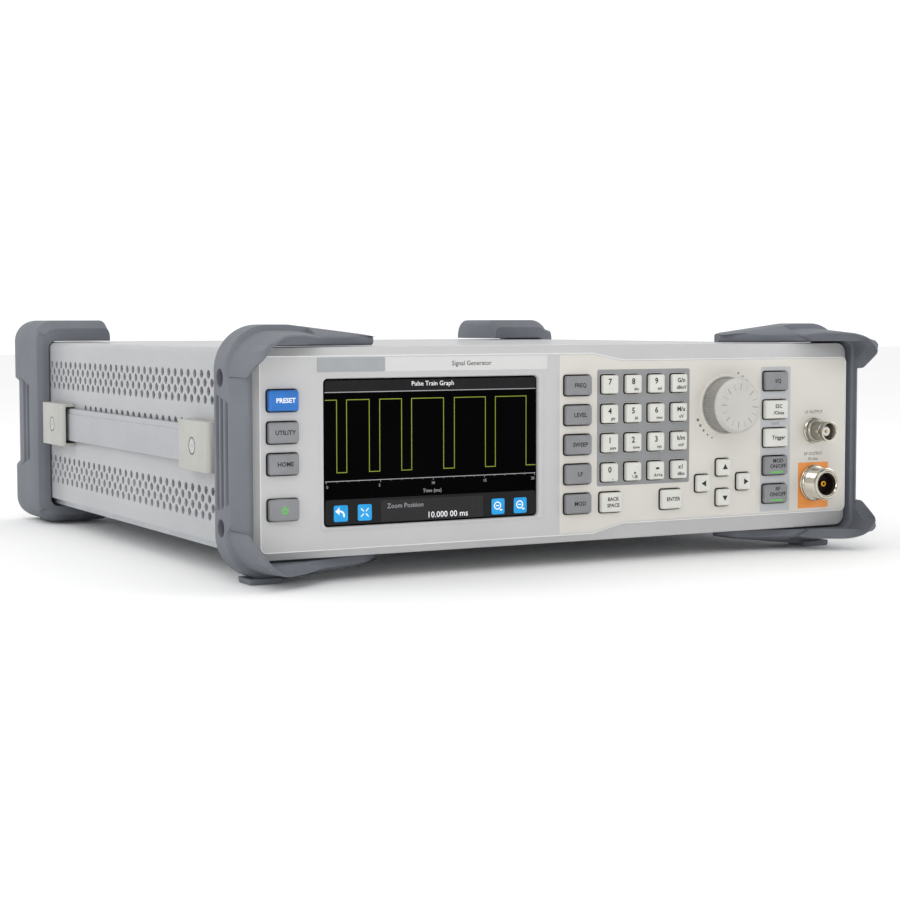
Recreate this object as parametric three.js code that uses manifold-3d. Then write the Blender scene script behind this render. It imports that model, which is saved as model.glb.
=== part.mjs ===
// Bench signal generator, half-rack style case, 2U high. Millimetres, +Z up, front panel facing -Y.
// Origin: middle of the footprint, on the surface that the feet stand on.
import * as THREE from 'three';
import { mergeVertices } from 'three/addons/utils/BufferGeometryUtils.js';
import Module from 'manifold-3d';

const wasm = await Module();
wasm.setup();

// ---- driving dimensions -------------------------------------------------------------------------

const OVERALL_DEPTH = 369; // front of the bumper hoods to back of the rear bumpers
const HOOD_REACH = 18.5; // how far the front bumpers stand in front of the panel
const FACE_Y = HOOD_REACH - OVERALL_DEPTH / 2; // plane of the front panel

const CASE_WIDTH = 323;
const CASE_BASE = 15.8; // lower edge of the cover above the table
const CASE_HEIGHT = 87.5; // cover's own height
const CASE_MIDDLE = 41.7; // height of the bezel's and bumpers' middle over the cover's lower edge
const SHEET = 1.2; // steel sheet of cover, chassis and rear panel
const CASE_RADIUS = 3;
const GAP = 0.3; // clearance between neighbouring pieces

const BEZEL_HALF_HEIGHT = 46.1;
const BEZEL_DEPTH = 26;
const PLATE = 3; // front panel moulding
const COVER_END = 343;
const REAR_PANEL_Y = 340;

const BUMPER_PROUD = 7.5; // outer face of a bumper outside the case side
const FRONT_GUARD = { middle: CASE_MIDDLE, half: 55.9, radius: 20 };
const REAR_GUARD = { middle: CASE_MIDDLE + 1, half: 57.1, radius: 12 };
const HOOD_INSET = 2.6; // step between a bumper's band and its thinner front part
const BAND = { front: 14, back: 29 };
const REAR_BAND = { front: 300, back: OVERALL_DEPTH - HOOD_REACH };
const FOOT_PAD = { thick: 1.6, width: 16, length: 14 };
const RIBS = { pitch: 3.6, width: 1.4, half: 25.4, screw: 32.8, screwRadius: 4 };

const KEY = { proud: 2.5, clearance: 0.35, flange: 1, travel: 1.2, radius: 1 };
const BOARD_Y = 10; // front face of the key board behind the panel
const SWITCH_TOP = 7.6;

const KNOB = { x: 246, z: 58, radius: 13.3, face: 12.3, proud: 12.3, shaft: 3 };
const SCREEN = { x0: 32.1, x1: 140.1, z0: 9.2, z1: 74, radius: 2 };
const BNC = { x: 300.3, z: 44.2, barrel: 4.8, bore: 4.05, flange: 6.35, proud: 13 };
const N_JACK = { x: 300.5, z: 18, thread: 7.95, bore: 5.7, flange: 9, proud: 11.6 };

const CAP = { z0: 31.5, z1: 54.5, length: 38, proud: 7.2, wall: 1.6, front: 38, rear: 255 };
const STRAP = { z0: 34.5, z1: 52, inner: 0.5, outer: 3.5, pivot: 4, bendGap: 1.3, tipGap: 0.8 };
const SLOT = { z0: 40.1, z1: 46.3, y0: 270.5, y1: 288.6 };

const TRAY = { low: -3, high: 20 }; // chassis floor and the top of its walls
const BOARD = { under: 5, top: 6.6 }; // heights of the two boards' faces
const FAN = {
  x: 90, z: 45, side: 60, depth: 15, back: 337, bore: 28.6, blade: 27.2, hub: 12.5,
  grille: 26, slotPitch: 7.2,
};
const INLET = { x: 265, z: 31 };

// ---- colours ------------------------------------------------------------------------------------

const finish = (color, roughness, metalness = 0) =>
  new THREE.MeshStandardMaterial({ color, roughness, metalness });

const FINISH = {
  cover: () => finish(0xc8c9cb, 0.5, 0.1),
  chassis: () => finish(0xb4b7ba, 0.4, 0.8),
  bezel: () => finish(0xc6c6c5, 0.55),
  bumper: () => finish(0x868b92, 0.65),
  greyKey: () => finish(0x969698, 0.6),
  whiteKey: () => finish(0xe1e1dc, 0.6),
  blueKey: () => finish(0x1e6ebe, 0.5),
  knob: () => finish(0xc4c3bf, 0.5),
  cap: () => finish(0xc4c5be, 0.55),
  strap: () => finish(0xbfc1c4, 0.6),
  board: () => finish(0x1f5a3a, 0.6),
  glass: () => finish(0x0a0a0c, 0.1),
  black: () => finish(0x1a1b1d, 0.6),
  nickel: () => finish(0xc9c9c4, 0.25, 1),
};

// ---- shaping helpers ----------------------------------------------------------------------------

const Y_ALONG_X = new THREE.Matrix4().makeBasis(
  new THREE.Vector3(0, 1, 0), new THREE.Vector3(0, 0, 1), new THREE.Vector3(1, 0, 0));

/** Closed geometry to manifold solid. */
function solid(geometry) {
  geometry.deleteAttribute('normal');
  geometry.deleteAttribute('uv');
  const merged = mergeVertices(geometry, 1e-4);
  return new wasm.Manifold(new wasm.Mesh({
    numProp: 3,
    vertProperties: new Float32Array(merged.attributes.position.array),
    triVerts: new Uint32Array(merged.index.array),
  }));
}

/** Manifold solid back to a geometry. */
function geometryOf(body) {
  const mesh = body.getMesh();
  const geometry = new THREE.BufferGeometry();
  geometry.setAttribute('position', new THREE.BufferAttribute(mesh.vertProperties, 3));
  geometry.setIndex(new THREE.BufferAttribute(mesh.triVerts, 1));
  return geometry;
}

/** Block between two corners. */
function block(x0, x1, y0, y1, z0, z1) {
  const geometry = new THREE.BoxGeometry(x1 - x0, y1 - y0, z1 - z0);
  geometry.translate((x0 + x1) / 2, (y0 + y1) / 2, (z0 + z1) / 2);
  return solid(geometry);
}

/** Outline of straight runs through [u, v] points; a third number rounds that corner. */
function outline(points, segments = 4) {
  const shape = new THREE.Shape();
  const count = points.length;
  points.forEach(([u, v, radius = 0], i) => {
    const here = new THREE.Vector2(u, v);
    const towards = (step) =>
      new THREE.Vector2(...points[(i + step + count) % count].slice(0, 2)).sub(here);
    const [before, after] = [towards(-1), towards(1)];
    const half = Math.abs(before.angleTo(after)) / 2;
    const run = radius / Math.tan(half);
    const start = here.clone().add(before.setLength(run));
    if (i === 0) shape.moveTo(radius ? start.x : u, radius ? start.y : v);
    else shape.lineTo(radius ? start.x : u, radius ? start.y : v);
    if (!radius) return;
    const end = here.clone().add(after.setLength(run));
    for (let k = 1; k <= segments; k += 1) {
      const t = k / segments;
      const weight = Math.sin(half); // rational quadratic: an exact arc
      const [a, b, c] = [(1 - t) ** 2, 2 * weight * t * (1 - t), t * t];
      const sum = a + b + c;
      shape.lineTo((a * start.x + b * u + c * end.x) / sum, (a * start.y + b * v + c * end.y) / sum);
    }
  });
  return shape;
}

const roundedRect = (u0, u1, v0, v1, radius, segments) =>
  outline([[u0, v0, radius], [u1, v0, radius], [u1, v1, radius], [u0, v1, radius]], segments);

const extruded = (shape, depth) => new THREE.ExtrudeGeometry(shape, { depth, bevelEnabled: false });

/** Prism whose outline is drawn across (x) and up (z), running from y0 to y1. */
function prismY(shape, y0, y1) {
  return solid(extruded(shape, y1 - y0).rotateX(Math.PI / 2).translate(0, y1, 0));
}

/** Prism whose outline is drawn back (y) and up (z), running from x0 to x1. */
function prismX(shape, x0, x1) {
  return solid(extruded(shape, x1 - x0).applyMatrix4(Y_ALONG_X).translate(x0, 0, 0));
}

/** Prism whose outline is drawn across (x) and back (y), running from z0 to z1. */
function prismZ(shape, z0, z1) {
  return solid(extruded(shape, z1 - z0).translate(0, 0, z0));
}

/** Solid turned about the Y axis from [radius, y] points, whose outer side runs front to back. */
function turned(points, x, z, sides = 24) {
  const profile = points.map(([radius, y]) => new THREE.Vector2(radius, y));
  return solid(new THREE.LatheGeometry([...profile, profile[0]], sides).translate(x, 0, z));
}

/** Round post or hole along Y. */
const postY = (radius, x, z, y0, y1, sides = 16) =>
  turned([[0, y0], [radius, y0], [radius, y1], [0, y1]], x, z, sides);

const all = (bodies) => wasm.Manifold.union(bodies);

// Everything below is laid out from the panel's lower left corner: x across from the case's left
// side, y back from the panel, z up from the cover's lower edge. This group carries that corner.
const unit = new THREE.Group();
const layout = new THREE.Group();
layout.position.set(-CASE_WIDTH / 2, FACE_Y, CASE_BASE);
unit.add(layout);

function add(name, body, material) {
  const mesh = new THREE.Mesh(geometryOf(body), material);
  mesh.name = name;
  layout.add(mesh);
  return mesh;
}

// ---- keys ---------------------------------------------------------------------------------------

const WIDE = { width: 14, height: 9 };
const SMALL = { width: 8.6, height: 8.6 };
const ARROW = { width: 7.6, height: 8 };

const column = (x, tops, names, material, size) =>
  names.map((name, i) => ({ name, x: x + size.width / 2, z: tops[i] - size.height / 2, size, material }));

const KEYPAD_TOPS = [73.5, 59.7, 45.9, 32.1];
const KEYPAD_ROWS = [
  ['7', '8', '9', 'giga'],
  ['4', '5', '6', 'mega'],
  ['1', '2', '3', 'kilo'],
  ['0', 'point', 'sign', 'unit'],
];

const KEYS = [
  ...column(5.6, [69.5], ['preset'], FINISH.blueKey, WIDE),
  ...column(5.6, [55.7, 42.1, 22.4], ['utility', 'home', 'power'], FINISH.greyKey, WIDE),
  ...column(154.4, [...KEYPAD_TOPS, 18.3], ['freq', 'level', 'sweep', 'lf', 'mod'], FINISH.greyKey, WIDE),
  ...[0, 1, 2, 3].flatMap((i) =>
    column(174.5 + 13.1 * i, KEYPAD_TOPS, KEYPAD_ROWS.map((row) => row[i]), FINISH.whiteKey, SMALL)),
  ...column(173.8, [18.3], ['backspace'], FINISH.whiteKey, { width: 11.6, height: 9.2 }),
  ...column(208, [18.3], ['enter'], FINISH.whiteKey, { width: 11.6, height: 9.2 }),
  { name: 'up', x: 244.5, z: 27.8, size: ARROW, material: FINISH.whiteKey },
  { name: 'left', x: 232.3, z: 20.5, size: ARROW, material: FINISH.whiteKey },
  { name: 'right', x: 256.7, z: 20.5, size: ARROW, material: FINISH.whiteKey },
  { name: 'down', x: 244.5, z: 13.2, size: ARROW, material: FINISH.whiteKey },
  ...column(269, [73.8], ['iq'], FINISH.greyKey, WIDE),
  ...column(269, [59.8, 45.9], ['escape', 'trigger'], FINISH.whiteKey, WIDE),
  ...column(269, [32.1, 18.2], ['mod_output', 'rf_output'], FINISH.greyKey, WIDE),
];

const keyOutline = ({ x, z, size }, grow, radius) => roundedRect(
  x - size.width / 2 - grow, x + size.width / 2 + grow,
  z - size.height / 2 - grow, z + size.height / 2 + grow, radius, 2);

const keyHole = (key) => prismY(keyOutline(key, KEY.clearance, KEY.radius + KEY.clearance), -1, PLATE + 1);

/** Cap through the panel, a flange that keeps it in, and a plunger that meets the switch. */
function keyBody(key) {
  const flangeY = PLATE + 0.4;
  const rest = SWITCH_TOP - KEY.travel - 0.4;
  return all([
    prismY(keyOutline(key, 0, KEY.radius), -KEY.proud, flangeY),
    prismY(keyOutline(key, KEY.flange, 0.6), flangeY, flangeY + 1),
    block(key.x - 1.5, key.x + 1.5, flangeY, rest, key.z - 1.5, key.z + 1.5),
  ]);
}

KEYS.forEach((key) => add(`key_${key.name}`, keyBody(key), key.material()));

// ---- front panel --------------------------------------------------------------------------------

/** Moulded panel with its skirt, windows for screen, keys, knob and connectors, and board posts. */
function frontBezel() {
  const low = CASE_MIDDLE - BEZEL_HALF_HEIGHT;
  const high = CASE_MIDDLE + BEZEL_HALF_HEIGHT;
  const shell = all([
    prismY(roundedRect(1, CASE_WIDTH - 1, low + 3.4, high - 3.4, 5), 0, PLATE),
    prismY(roundedRect(0, CASE_WIDTH, low, high, 6), PLATE - 1, BEZEL_DEPTH),
  ]);
  const inside = prismY(
    roundedRect(PLATE, CASE_WIDTH - PLATE, low + PLATE, high - PLATE, 4), PLATE, BEZEL_DEPTH + 1);
  const holes = [
    ...KEYS.map(keyHole),
    prismY(roundedRect(SCREEN.x0, SCREEN.x1, SCREEN.z0, SCREEN.z1, SCREEN.radius), -1, PLATE + 1),
    postY(KNOB.shaft + 0.5, KNOB.x, KNOB.z, -1, PLATE + 1),
    postY(5.3, BNC.x, BNC.z, -1, PLATE + 1),
    postY(6.5, N_JACK.x, N_JACK.z, -1, PLATE + 1),
  ];
  const ring = turned([
    [KNOB.radius + 0.4, -0.9], [KNOB.radius + 1.7, -0.6],
    [KNOB.radius + 1.7, 0.5], [KNOB.radius + 0.4, 0.5],
  ], KNOB.x, KNOB.z, 32);
  const posts = [[24, 24], [148.5, 60], [148.5, 24], [228.5, 60], [228.5, 12], [262.5, 40], [262.5, 8]]
    .map(([x, z]) => postY(2, x, z, PLATE - 1, BOARD_Y - GAP, 8));
  return all([shell.subtract(inside).subtract(all(holes)), ring, ...posts]);
}

/** Key board: switches behind the keys and the encoder behind the knob. */
function frontBoard() {
  const switches = KEYS.map(({ x, z }) => block(x - 3, x + 3, SWITCH_TOP, BOARD_Y + 0.5, z - 3, z + 3));
  return all([
    block(4, 288, BOARD_Y, BOARD_Y + 1.6, 4, 79.5),
    block(KNOB.x - 6.5, KNOB.x + 6.5, BOARD_Y - 1.2, BOARD_Y + 0.5, KNOB.z - 6.5, KNOB.z + 6.5),
    ...switches,
  ]);
}

add('front_bezel', frontBezel(), FINISH.bezel());
add('front_board', frontBoard(), FINISH.board());

// ---- screen -------------------------------------------------------------------------------------

const windowPane = roundedRect(
  SCREEN.x0 + GAP, SCREEN.x1 - GAP, SCREEN.z0 + GAP, SCREEN.z1 - GAP, SCREEN.radius - GAP);

add('display_window', prismY(windowPane, 0.5, PLATE - 0.1), FINISH.glass());
add('display_module', prismY(roundedRect(28.6, 144, 5, 78.5, 1, 1), PLATE + GAP, 9.4), FINISH.black());

// ---- knob ---------------------------------------------------------------------------------------

add('knob', turned([
  [0, -KNOB.proud], [KNOB.face, -KNOB.proud], [KNOB.radius, 1.2 - KNOB.proud],
  [KNOB.radius, -0.6], [KNOB.shaft, -0.6], [KNOB.shaft, 8.2], [0, 8.2],
], KNOB.x, KNOB.z, 40), FINISH.knob());

// ---- front connectors ---------------------------------------------------------------------------

/** Coaxial jack: a shell with a flange, an open mouth and the contact's insulator inside. */
function coaxialJack({ x, z, shell, bore, flange, flangeDepth, proud, insulator, insulatorY, stem }) {
  return turned([
    [0, insulatorY], [insulator, insulatorY], [insulator, -4],
    [bore, -4], [bore, -proud], [shell, -proud], [shell, -GAP - flangeDepth],
    [flange, -GAP - flangeDepth], [flange, -GAP], [stem, -GAP], [stem, 22], [0, 22],
  ], x, z, 24);
}

const bayonetLugs = [-1, 1].map((side) => block(
  BNC.x + side * (BNC.barrel + 0.3) - 0.9, BNC.x + side * (BNC.barrel + 0.3) + 0.9,
  -BNC.proud + 2.2, -BNC.proud + 4, BNC.z - 0.95, BNC.z + 0.95));

add('bnc_output', all([
  coaxialJack({
    x: BNC.x, z: BNC.z, shell: BNC.barrel, bore: BNC.bore, flange: BNC.flange, flangeDepth: 3.2,
    proud: BNC.proud, insulator: 2.4, insulatorY: -BNC.proud + 2.6, stem: 4.9,
  }),
  ...bayonetLugs,
]), FINISH.nickel());

add('n_output', coaxialJack({
  x: N_JACK.x, z: N_JACK.z, shell: N_JACK.thread, bore: N_JACK.bore, flange: N_JACK.flange,
  flangeDepth: 1.6, proud: N_JACK.proud, insulator: 2.2, insulatorY: -N_JACK.proud + 3, stem: 6.1,
}), FINISH.nickel());

// ---- cover, chassis and rear panel --------------------------------------------------------------

/** One sheet folded over top and sides, open below. */
function outerCover() {
  const front = BEZEL_DEPTH + GAP;
  const skin = (inset, low) => outline([
    [inset, low], [CASE_WIDTH - inset, low],
    [CASE_WIDTH - inset, CASE_HEIGHT - inset, CASE_RADIUS - inset / 2],
    [inset, CASE_HEIGHT - inset, CASE_RADIUS - inset / 2],
  ]);
  return prismY(skin(0, 0), front, COVER_END).subtract(prismY(skin(SHEET, -1), front - 1, COVER_END + 1));
}

/** Tray with low walls and the posts that the boards stand on. */
function chassis() {
  const wall = SHEET + GAP;
  const [front, back] = [BEZEL_DEPTH + GAP, REAR_PANEL_Y - GAP];
  const tray = block(wall, CASE_WIDTH - wall, front, back, TRAY.low, TRAY.high);
  const inside = block(wall + SHEET, CASE_WIDTH - wall - SHEET, front + SHEET, back + 1,
    TRAY.low + SHEET, TRAY.high + 1);
  const posts = [[60, 70], [60, 225], [205, 70], [205, 225], [232, 150], [232, 300], [300, 150], [300, 300]]
    .map(([x, y]) => block(x - 3, x + 3, y - 3, y + 3, TRAY.low + 1, BOARD.under - GAP));
  return all([tray.subtract(inside), ...posts]);
}

/** Rear sheet with the fan's slots and the mains inlet's cut-out. */
function rearPanel() {
  const wall = SHEET + GAP;
  const sheet = prismY(outline([
    [wall, TRAY.low], [CASE_WIDTH - wall, TRAY.low],
    [CASE_WIDTH - wall, CASE_HEIGHT - wall, CASE_RADIUS], [wall, CASE_HEIGHT - wall, CASE_RADIUS],
  ]), REAR_PANEL_Y, REAR_PANEL_Y + SHEET);
  const flange = block(wall + CASE_RADIUS, CASE_WIDTH - wall - CASE_RADIUS, REAR_PANEL_Y - 10,
    REAR_PANEL_Y + 0.5, CASE_HEIGHT - wall - SHEET, CASE_HEIGHT - wall);
  const through = [REAR_PANEL_Y - 1, REAR_PANEL_Y + 2];
  const slots = [-3, -2, -1, 0, 1, 2, 3].map((row) => {
    const half = Math.sqrt(FAN.grille ** 2 - (row * FAN.slotPitch) ** 2);
    const z = FAN.z + row * FAN.slotPitch;
    return block(FAN.x - half, FAN.x + half, ...through, z - 2.2, z + 2.2);
  });
  const cutOut = block(INLET.x - 14.3, INLET.x + 14.3, ...through, INLET.z - 10.3, INLET.z + 10.3);
  return all([sheet, flange]).subtract(all([...slots, cutOut]));
}

add('outer_cover', outerCover(), FINISH.cover());
add('chassis', chassis(), FINISH.chassis());
add('rear_panel', rearPanel(), FINISH.chassis());

// ---- inside -------------------------------------------------------------------------------------

add('main_board', all([
  block(50, 215, 60, 235, BOARD.under, BOARD.top),
  block(60, 130, 75, 150, 6, 19), // screening cans
  block(138, 205, 75, 130, 6, 17),
  block(60, 120, 160, 220, 6, 17),
  block(150, 190, 165, 205, 6, 26), // finned cooler
]), FINISH.board());

add('power_supply', all([
  block(226, 306, 140, 310, BOARD.under, BOARD.top),
  block(235, 270, 160, 200, 6, 38), // transformer
  block(278, 300, 155, 215, 6, 34), // capacitors
  block(238, 246, 225, 300, 6, 44), // coolers
  block(286, 294, 235, 300, 6, 44),
]), FINISH.board());

/** Appliance inlet: flange outside the panel, body inside, cavity with three blades. */
function mainsInlet() {
  const { x, z } = INLET;
  const outside = REAR_PANEL_Y + SHEET + GAP;
  const body = all([
    prismY(roundedRect(x - 20, x + 20, z - 13, z + 13, 3, 2), outside, outside + 2.2),
    block(x - 14, x + 14, outside - 20, outside + 0.5, z - 10, z + 10),
  ]);
  const cavity = prismY(roundedRect(x - 11.5, x + 11.5, z - 7.5, z + 7.5, 1.5, 2), outside - 15, outside + 4);
  const blades = [[-7, -1.5], [0, 1.8], [7, -1.5]].map(([dx, dz]) =>
    block(x + dx - 1, x + dx + 1, outside - 16, outside - 3, z + dz - 2, z + dz + 2));
  return all([body.subtract(cavity), ...blades]);
}

add('mains_inlet', mainsInlet(), FINISH.black());

/** Fan housing: square frame, round duct, motor cup on three struts at the back. */
function fanFrame() {
  const { x, z, side, depth, back, bore, hub } = FAN;
  const half = side / 2;
  const frame = prismY(roundedRect(x - half, x + half, z - half, z + half, 3, 2), back - depth, back);
  const duct = postY(bore, x, z, back - depth - 1, back + 1, 32);
  const strut = (turn) => solid(new THREE.BoxGeometry(bore + 1, 1.8, 2.4)
    .translate((bore + 1) / 2, back - 1, 0).rotateY(turn).translate(x, 0, z));
  const struts = [0.4, 2.5, 4.6].map(strut);
  return all([frame.subtract(duct), postY(hub, x, z, back - 1.9, back - 0.1, 20), ...struts]);
}

/** Hub with seven pitched blades. */
function fanRotor() {
  const { x, z, depth, back, blade, hub } = FAN;
  const middle = back - depth / 2 - 1;
  const blades = [0, 1, 2, 3, 4, 5, 6].map((i) => solid(new THREE.BoxGeometry(blade - hub + 2, 1, 11)
    .rotateX(0.85).translate((blade + hub - 2) / 2, middle, 0)
    .rotateY((i * 2 * Math.PI) / 7).translate(x, 0, z)));
  return all([postY(hub, x, z, back - depth + 0.8, back - 2.4, 20), ...blades]);
}

add('fan_frame', fanFrame(), FINISH.black());
add('fan_rotor', fanRotor(), FINISH.black());

// ---- side handle --------------------------------------------------------------------------------

/** Moulded end cap, open toward the strap and toward the case, with a post for its screw. */
function handleCap(start, mouthAt) {
  const [y0, y1] = [start, start + CAP.length];
  const middleY = (y0 + y1) / 2;
  const middleZ = (CAP.z0 + CAP.z1) / 2;
  const chamfer = 1.2;
  const shell = prismZ(outline([
    [-GAP, y0], [-GAP, y1], [-CAP.proud + chamfer, y1], [-CAP.proud, y1 - chamfer],
    [-CAP.proud, y0 + chamfer], [-CAP.proud + chamfer, y0],
  ]), CAP.z0, CAP.z1);
  const inner = mouthAt === 'back' ? [y0 + CAP.wall, y1 + 1] : [y0 - 1, y1 - CAP.wall];
  const hollow = block(-CAP.proud + CAP.wall, 1, ...inner, CAP.z0 + CAP.wall, CAP.z1 - CAP.wall);
  const postX = (radius, x0, x1, sides) => solid(new THREE.CylinderGeometry(radius, radius, x1 - x0, sides)
    .rotateZ(Math.PI / 2).translate((x0 + x1) / 2, middleY, middleZ));
  const post = postX(2.6, -CAP.proud + 0.5, -GAP, 12);
  const screwSeat = postX(4, -CAP.proud - 1, -CAP.proud + 0.9, 20);
  return all([shell.subtract(hollow), post]).subtract(screwSeat);
}

add('handle_cap_front', handleCap(CAP.front, 'back'), FINISH.cap());
add('handle_cap_rear', handleCap(CAP.rear, 'front'), FINISH.cap());

const pivotFront = CAP.front + CAP.length - STRAP.pivot;
const pivotRear = CAP.rear + STRAP.pivot;
const bend = (pivotFront + pivotRear) / 2;
const strapPiece = (y0, y1) => block(-STRAP.outer, -STRAP.inner, y0, y1, STRAP.z0, STRAP.z1);

add('strap_front', strapPiece(pivotFront, bend - STRAP.bendGap / 2), FINISH.strap());
add('strap_rear', strapPiece(bend + STRAP.bendGap / 2, pivotRear - STRAP.tipGap / 2), FINISH.strap());
add('strap_tip', strapPiece(pivotRear + STRAP.tipGap / 2, 290.8)
  .subtract(block(-5, 1, SLOT.y0, SLOT.y1, SLOT.z0, SLOT.z1)), FINISH.strap());

// ---- corner bumpers -----------------------------------------------------------------------------

/** C-shaped outline round one side of the case: wings above and below, ending in slanted tips. */
function bumperOutline(guard, inset, wing) {
  const high = guard.middle + guard.half - inset;
  const low = guard.middle - guard.half + inset;
  const outer = inset - BUMPER_PROUD;
  const inner = {
    high: CASE_MIDDLE + BEZEL_HALF_HEIGHT + 0.4, low: CASE_MIDDLE - BEZEL_HALF_HEIGHT - 0.4,
  };
  const radius = guard.radius - inset;
  return outline([
    [wing.tip, inner.low], [-0.4, inner.low, 4], [-0.4, inner.high, 4], [wing.tip, inner.high],
    [wing.tip, inner.high + wing.thick], [wing.flat, high], [outer, high, radius],
    [outer, low, radius], [wing.flat, low], [wing.tip, inner.low - wing.thick],
  ], 7);
}

/** Side profile given as heights from a bumper's middle, followed by its mirror image below. */
const mirrored = (guard, points) => [
  ...points.map(([y, rise, ...radius]) => [y, guard.middle + rise, ...radius]),
  ...points.map(([y, rise, ...radius]) => [y, guard.middle - rise, ...radius]).reverse()];

/** Recess in the outer face with three upright ribs standing in it. */
function ribbedRecess(y, depth) {
  const floor = depth - BUMPER_PROUD;
  const low = CASE_MIDDLE - RIBS.half;
  const high = CASE_MIDDLE + RIBS.half;
  const recess = block(-BUMPER_PROUD - 1, floor, y - 6, y + 6, low, high);
  const ribs = [-RIBS.pitch, 0, RIBS.pitch].map((dy) => block(0.5 - BUMPER_PROUD, floor + 0.5,
    y + dy - RIBS.width / 2, y + dy + RIBS.width / 2, low - 1, high + 1));
  return recess.subtract(all(ribs));
}

/** Holes for the two screws that hold a bumper. */
const screwHoles = (y) => all([-RIBS.screw, RIBS.screw].map((rise) => solid(
  new THREE.CylinderGeometry(RIBS.screwRadius, RIBS.screwRadius, 5.5, 20)
    .rotateZ(Math.PI / 2).translate(-BUMPER_PROUD + 2.25, y, CASE_MIDDLE + rise))));

/** Sole under the bumper that the unit stands on. */
const footPad = (y) => block(2, 2 + FOOT_PAD.width, y - FOOT_PAD.length / 2, y + FOOT_PAD.length / 2,
  -CASE_BASE, FOOT_PAD.thick + 1 - CASE_BASE);

/** Left front bumper: band round the bezel, and a thinner hood that guards the panel's corners. */
function frontBumper() {
  const wing = { tip: 66, flat: 22, thick: 4.1 };
  const [top, tall] = [FRONT_GUARD.half - HOOD_INSET, 60];
  const hoodSide = outline(mirrored(FRONT_GUARD, [
    [BAND.front + 1, top], [BAND.front, top], [-HOOD_REACH, top - 2, 3],
    [-HOOD_REACH, 42.9], [-5, 33.3], [-2, 32.9],
  ]));
  const hoodPlan = outline([
    [-BUMPER_PROUD, BAND.front + 1], [-BUMPER_PROUD + 1.4, -14], [-4.4, -HOOD_REACH], [0.5, -HOOD_REACH, 2],
    [30.5, -0.5, 1], [31.2, 3], [59.8, BAND.front + 1],
  ]);
  const hood = prismY(bumperOutline(FRONT_GUARD, HOOD_INSET, wing), -HOOD_REACH, BAND.front + 1)
    .intersect(prismX(hoodSide, -BUMPER_PROUD - 1, wing.tip + 1))
    .intersect(prismZ(hoodPlan, CASE_MIDDLE - tall, CASE_MIDDLE + tall));
  const band = prismY(bumperOutline(FRONT_GUARD, 0, wing), BAND.front, BAND.back);
  const wingFront = prismZ(outline([
    [-BUMPER_PROUD - 1, BAND.front - 1], [58.5, BAND.front - 1], [wing.tip + 1, 20.5], [wing.tip + 1, 24],
    [60, BAND.back], [-BUMPER_PROUD - 1, BAND.back],
  ]), CASE_MIDDLE - tall, CASE_MIDDLE + tall);
  const panelRoom = block(-2.8, wing.tip + 1, -HOOD_REACH - 1, -0.4,
    CASE_MIDDLE - BEZEL_HALF_HEIGHT - 1, CASE_MIDDLE + BEZEL_HALF_HEIGHT + 1);
  return all([hood, band.intersect(wingFront), footPad(19)])
    .subtract(all([panelRoom, ribbedRecess(21.5, 2), screwHoles(21.5)]));
}

/** Left rear bumper: a deeper band whose back edge wraps round the end of the cover. */
function rearBumper() {
  const wing = { tip: 35, flat: 31.5, thick: 6.5 };
  const [front, back] = [REAR_BAND.front, REAR_BAND.back];
  const tall = 60;
  const plan = prismZ(outline([
    [-0.2, front], [-BUMPER_PROUD + 2, front + 1], [-BUMPER_PROUD, front + 9], [-BUMPER_PROUD, back, 6],
    [wing.tip + 1, back], [wing.tip + 1, front],
  ]), CASE_MIDDLE - tall, CASE_MIDDLE + tall);
  const side = prismX(outline(mirrored(REAR_GUARD, [
    [front, REAR_GUARD.half - 3.5], [front + 7, REAR_GUARD.half], [back, REAR_GUARD.half, 6],
  ])), -BUMPER_PROUD - 1, wing.tip + 1);
  const band = prismY(bumperOutline(REAR_GUARD, 0, wing), front, back);
  const lipHalf = BEZEL_HALF_HEIGHT + 2;
  const lip = prismY(roundedRect(-3, 8, CASE_MIDDLE - lipHalf, CASE_MIDDLE + lipHalf, 3),
    COVER_END + GAP, back);
  const mouth = prismY(roundedRect(4, 12, 3, CASE_HEIGHT - 6, 3), COVER_END - 1, back + 1);
  return all([
    band.intersect(plan).intersect(side), lip.subtract(mouth).intersect(plan).intersect(side),
    footPad(326),
  ]).subtract(ribbedRecess(330, 2.6));
}

/** The right-hand bumper is the left one mirrored across the case. */
const acrossCase = (body) => body.mirror([1, 0, 0]).translate([CASE_WIDTH, 0, 0]);

for (const [place, body] of [['front', frontBumper()], ['rear', rearBumper()]]) {
  add(`bumper_${place}_left`, body, FINISH.bumper());
  add(`bumper_${place}_right`, acrossCase(body), FINISH.bumper());
}

export default unit;
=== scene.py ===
"""Looks of a bench signal generator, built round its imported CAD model.

Lengths are millimetres in the case's own layout: x across from the case's left side, y back from the
front panel's face, z up from the cover's lower edge. The layout's corner is found from the CAD nodes,
and every mesh is turned into the row frame's metres as it is built.
"""

import logging
import math
from dataclasses import dataclass, field
from enum import Enum
from typing import Callable, Iterable, Sequence

import bmesh
import bpy
import numpy as np
from mathutils import Euler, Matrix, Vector
from mathutils.geometry import delaunay_2d_cdt


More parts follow.
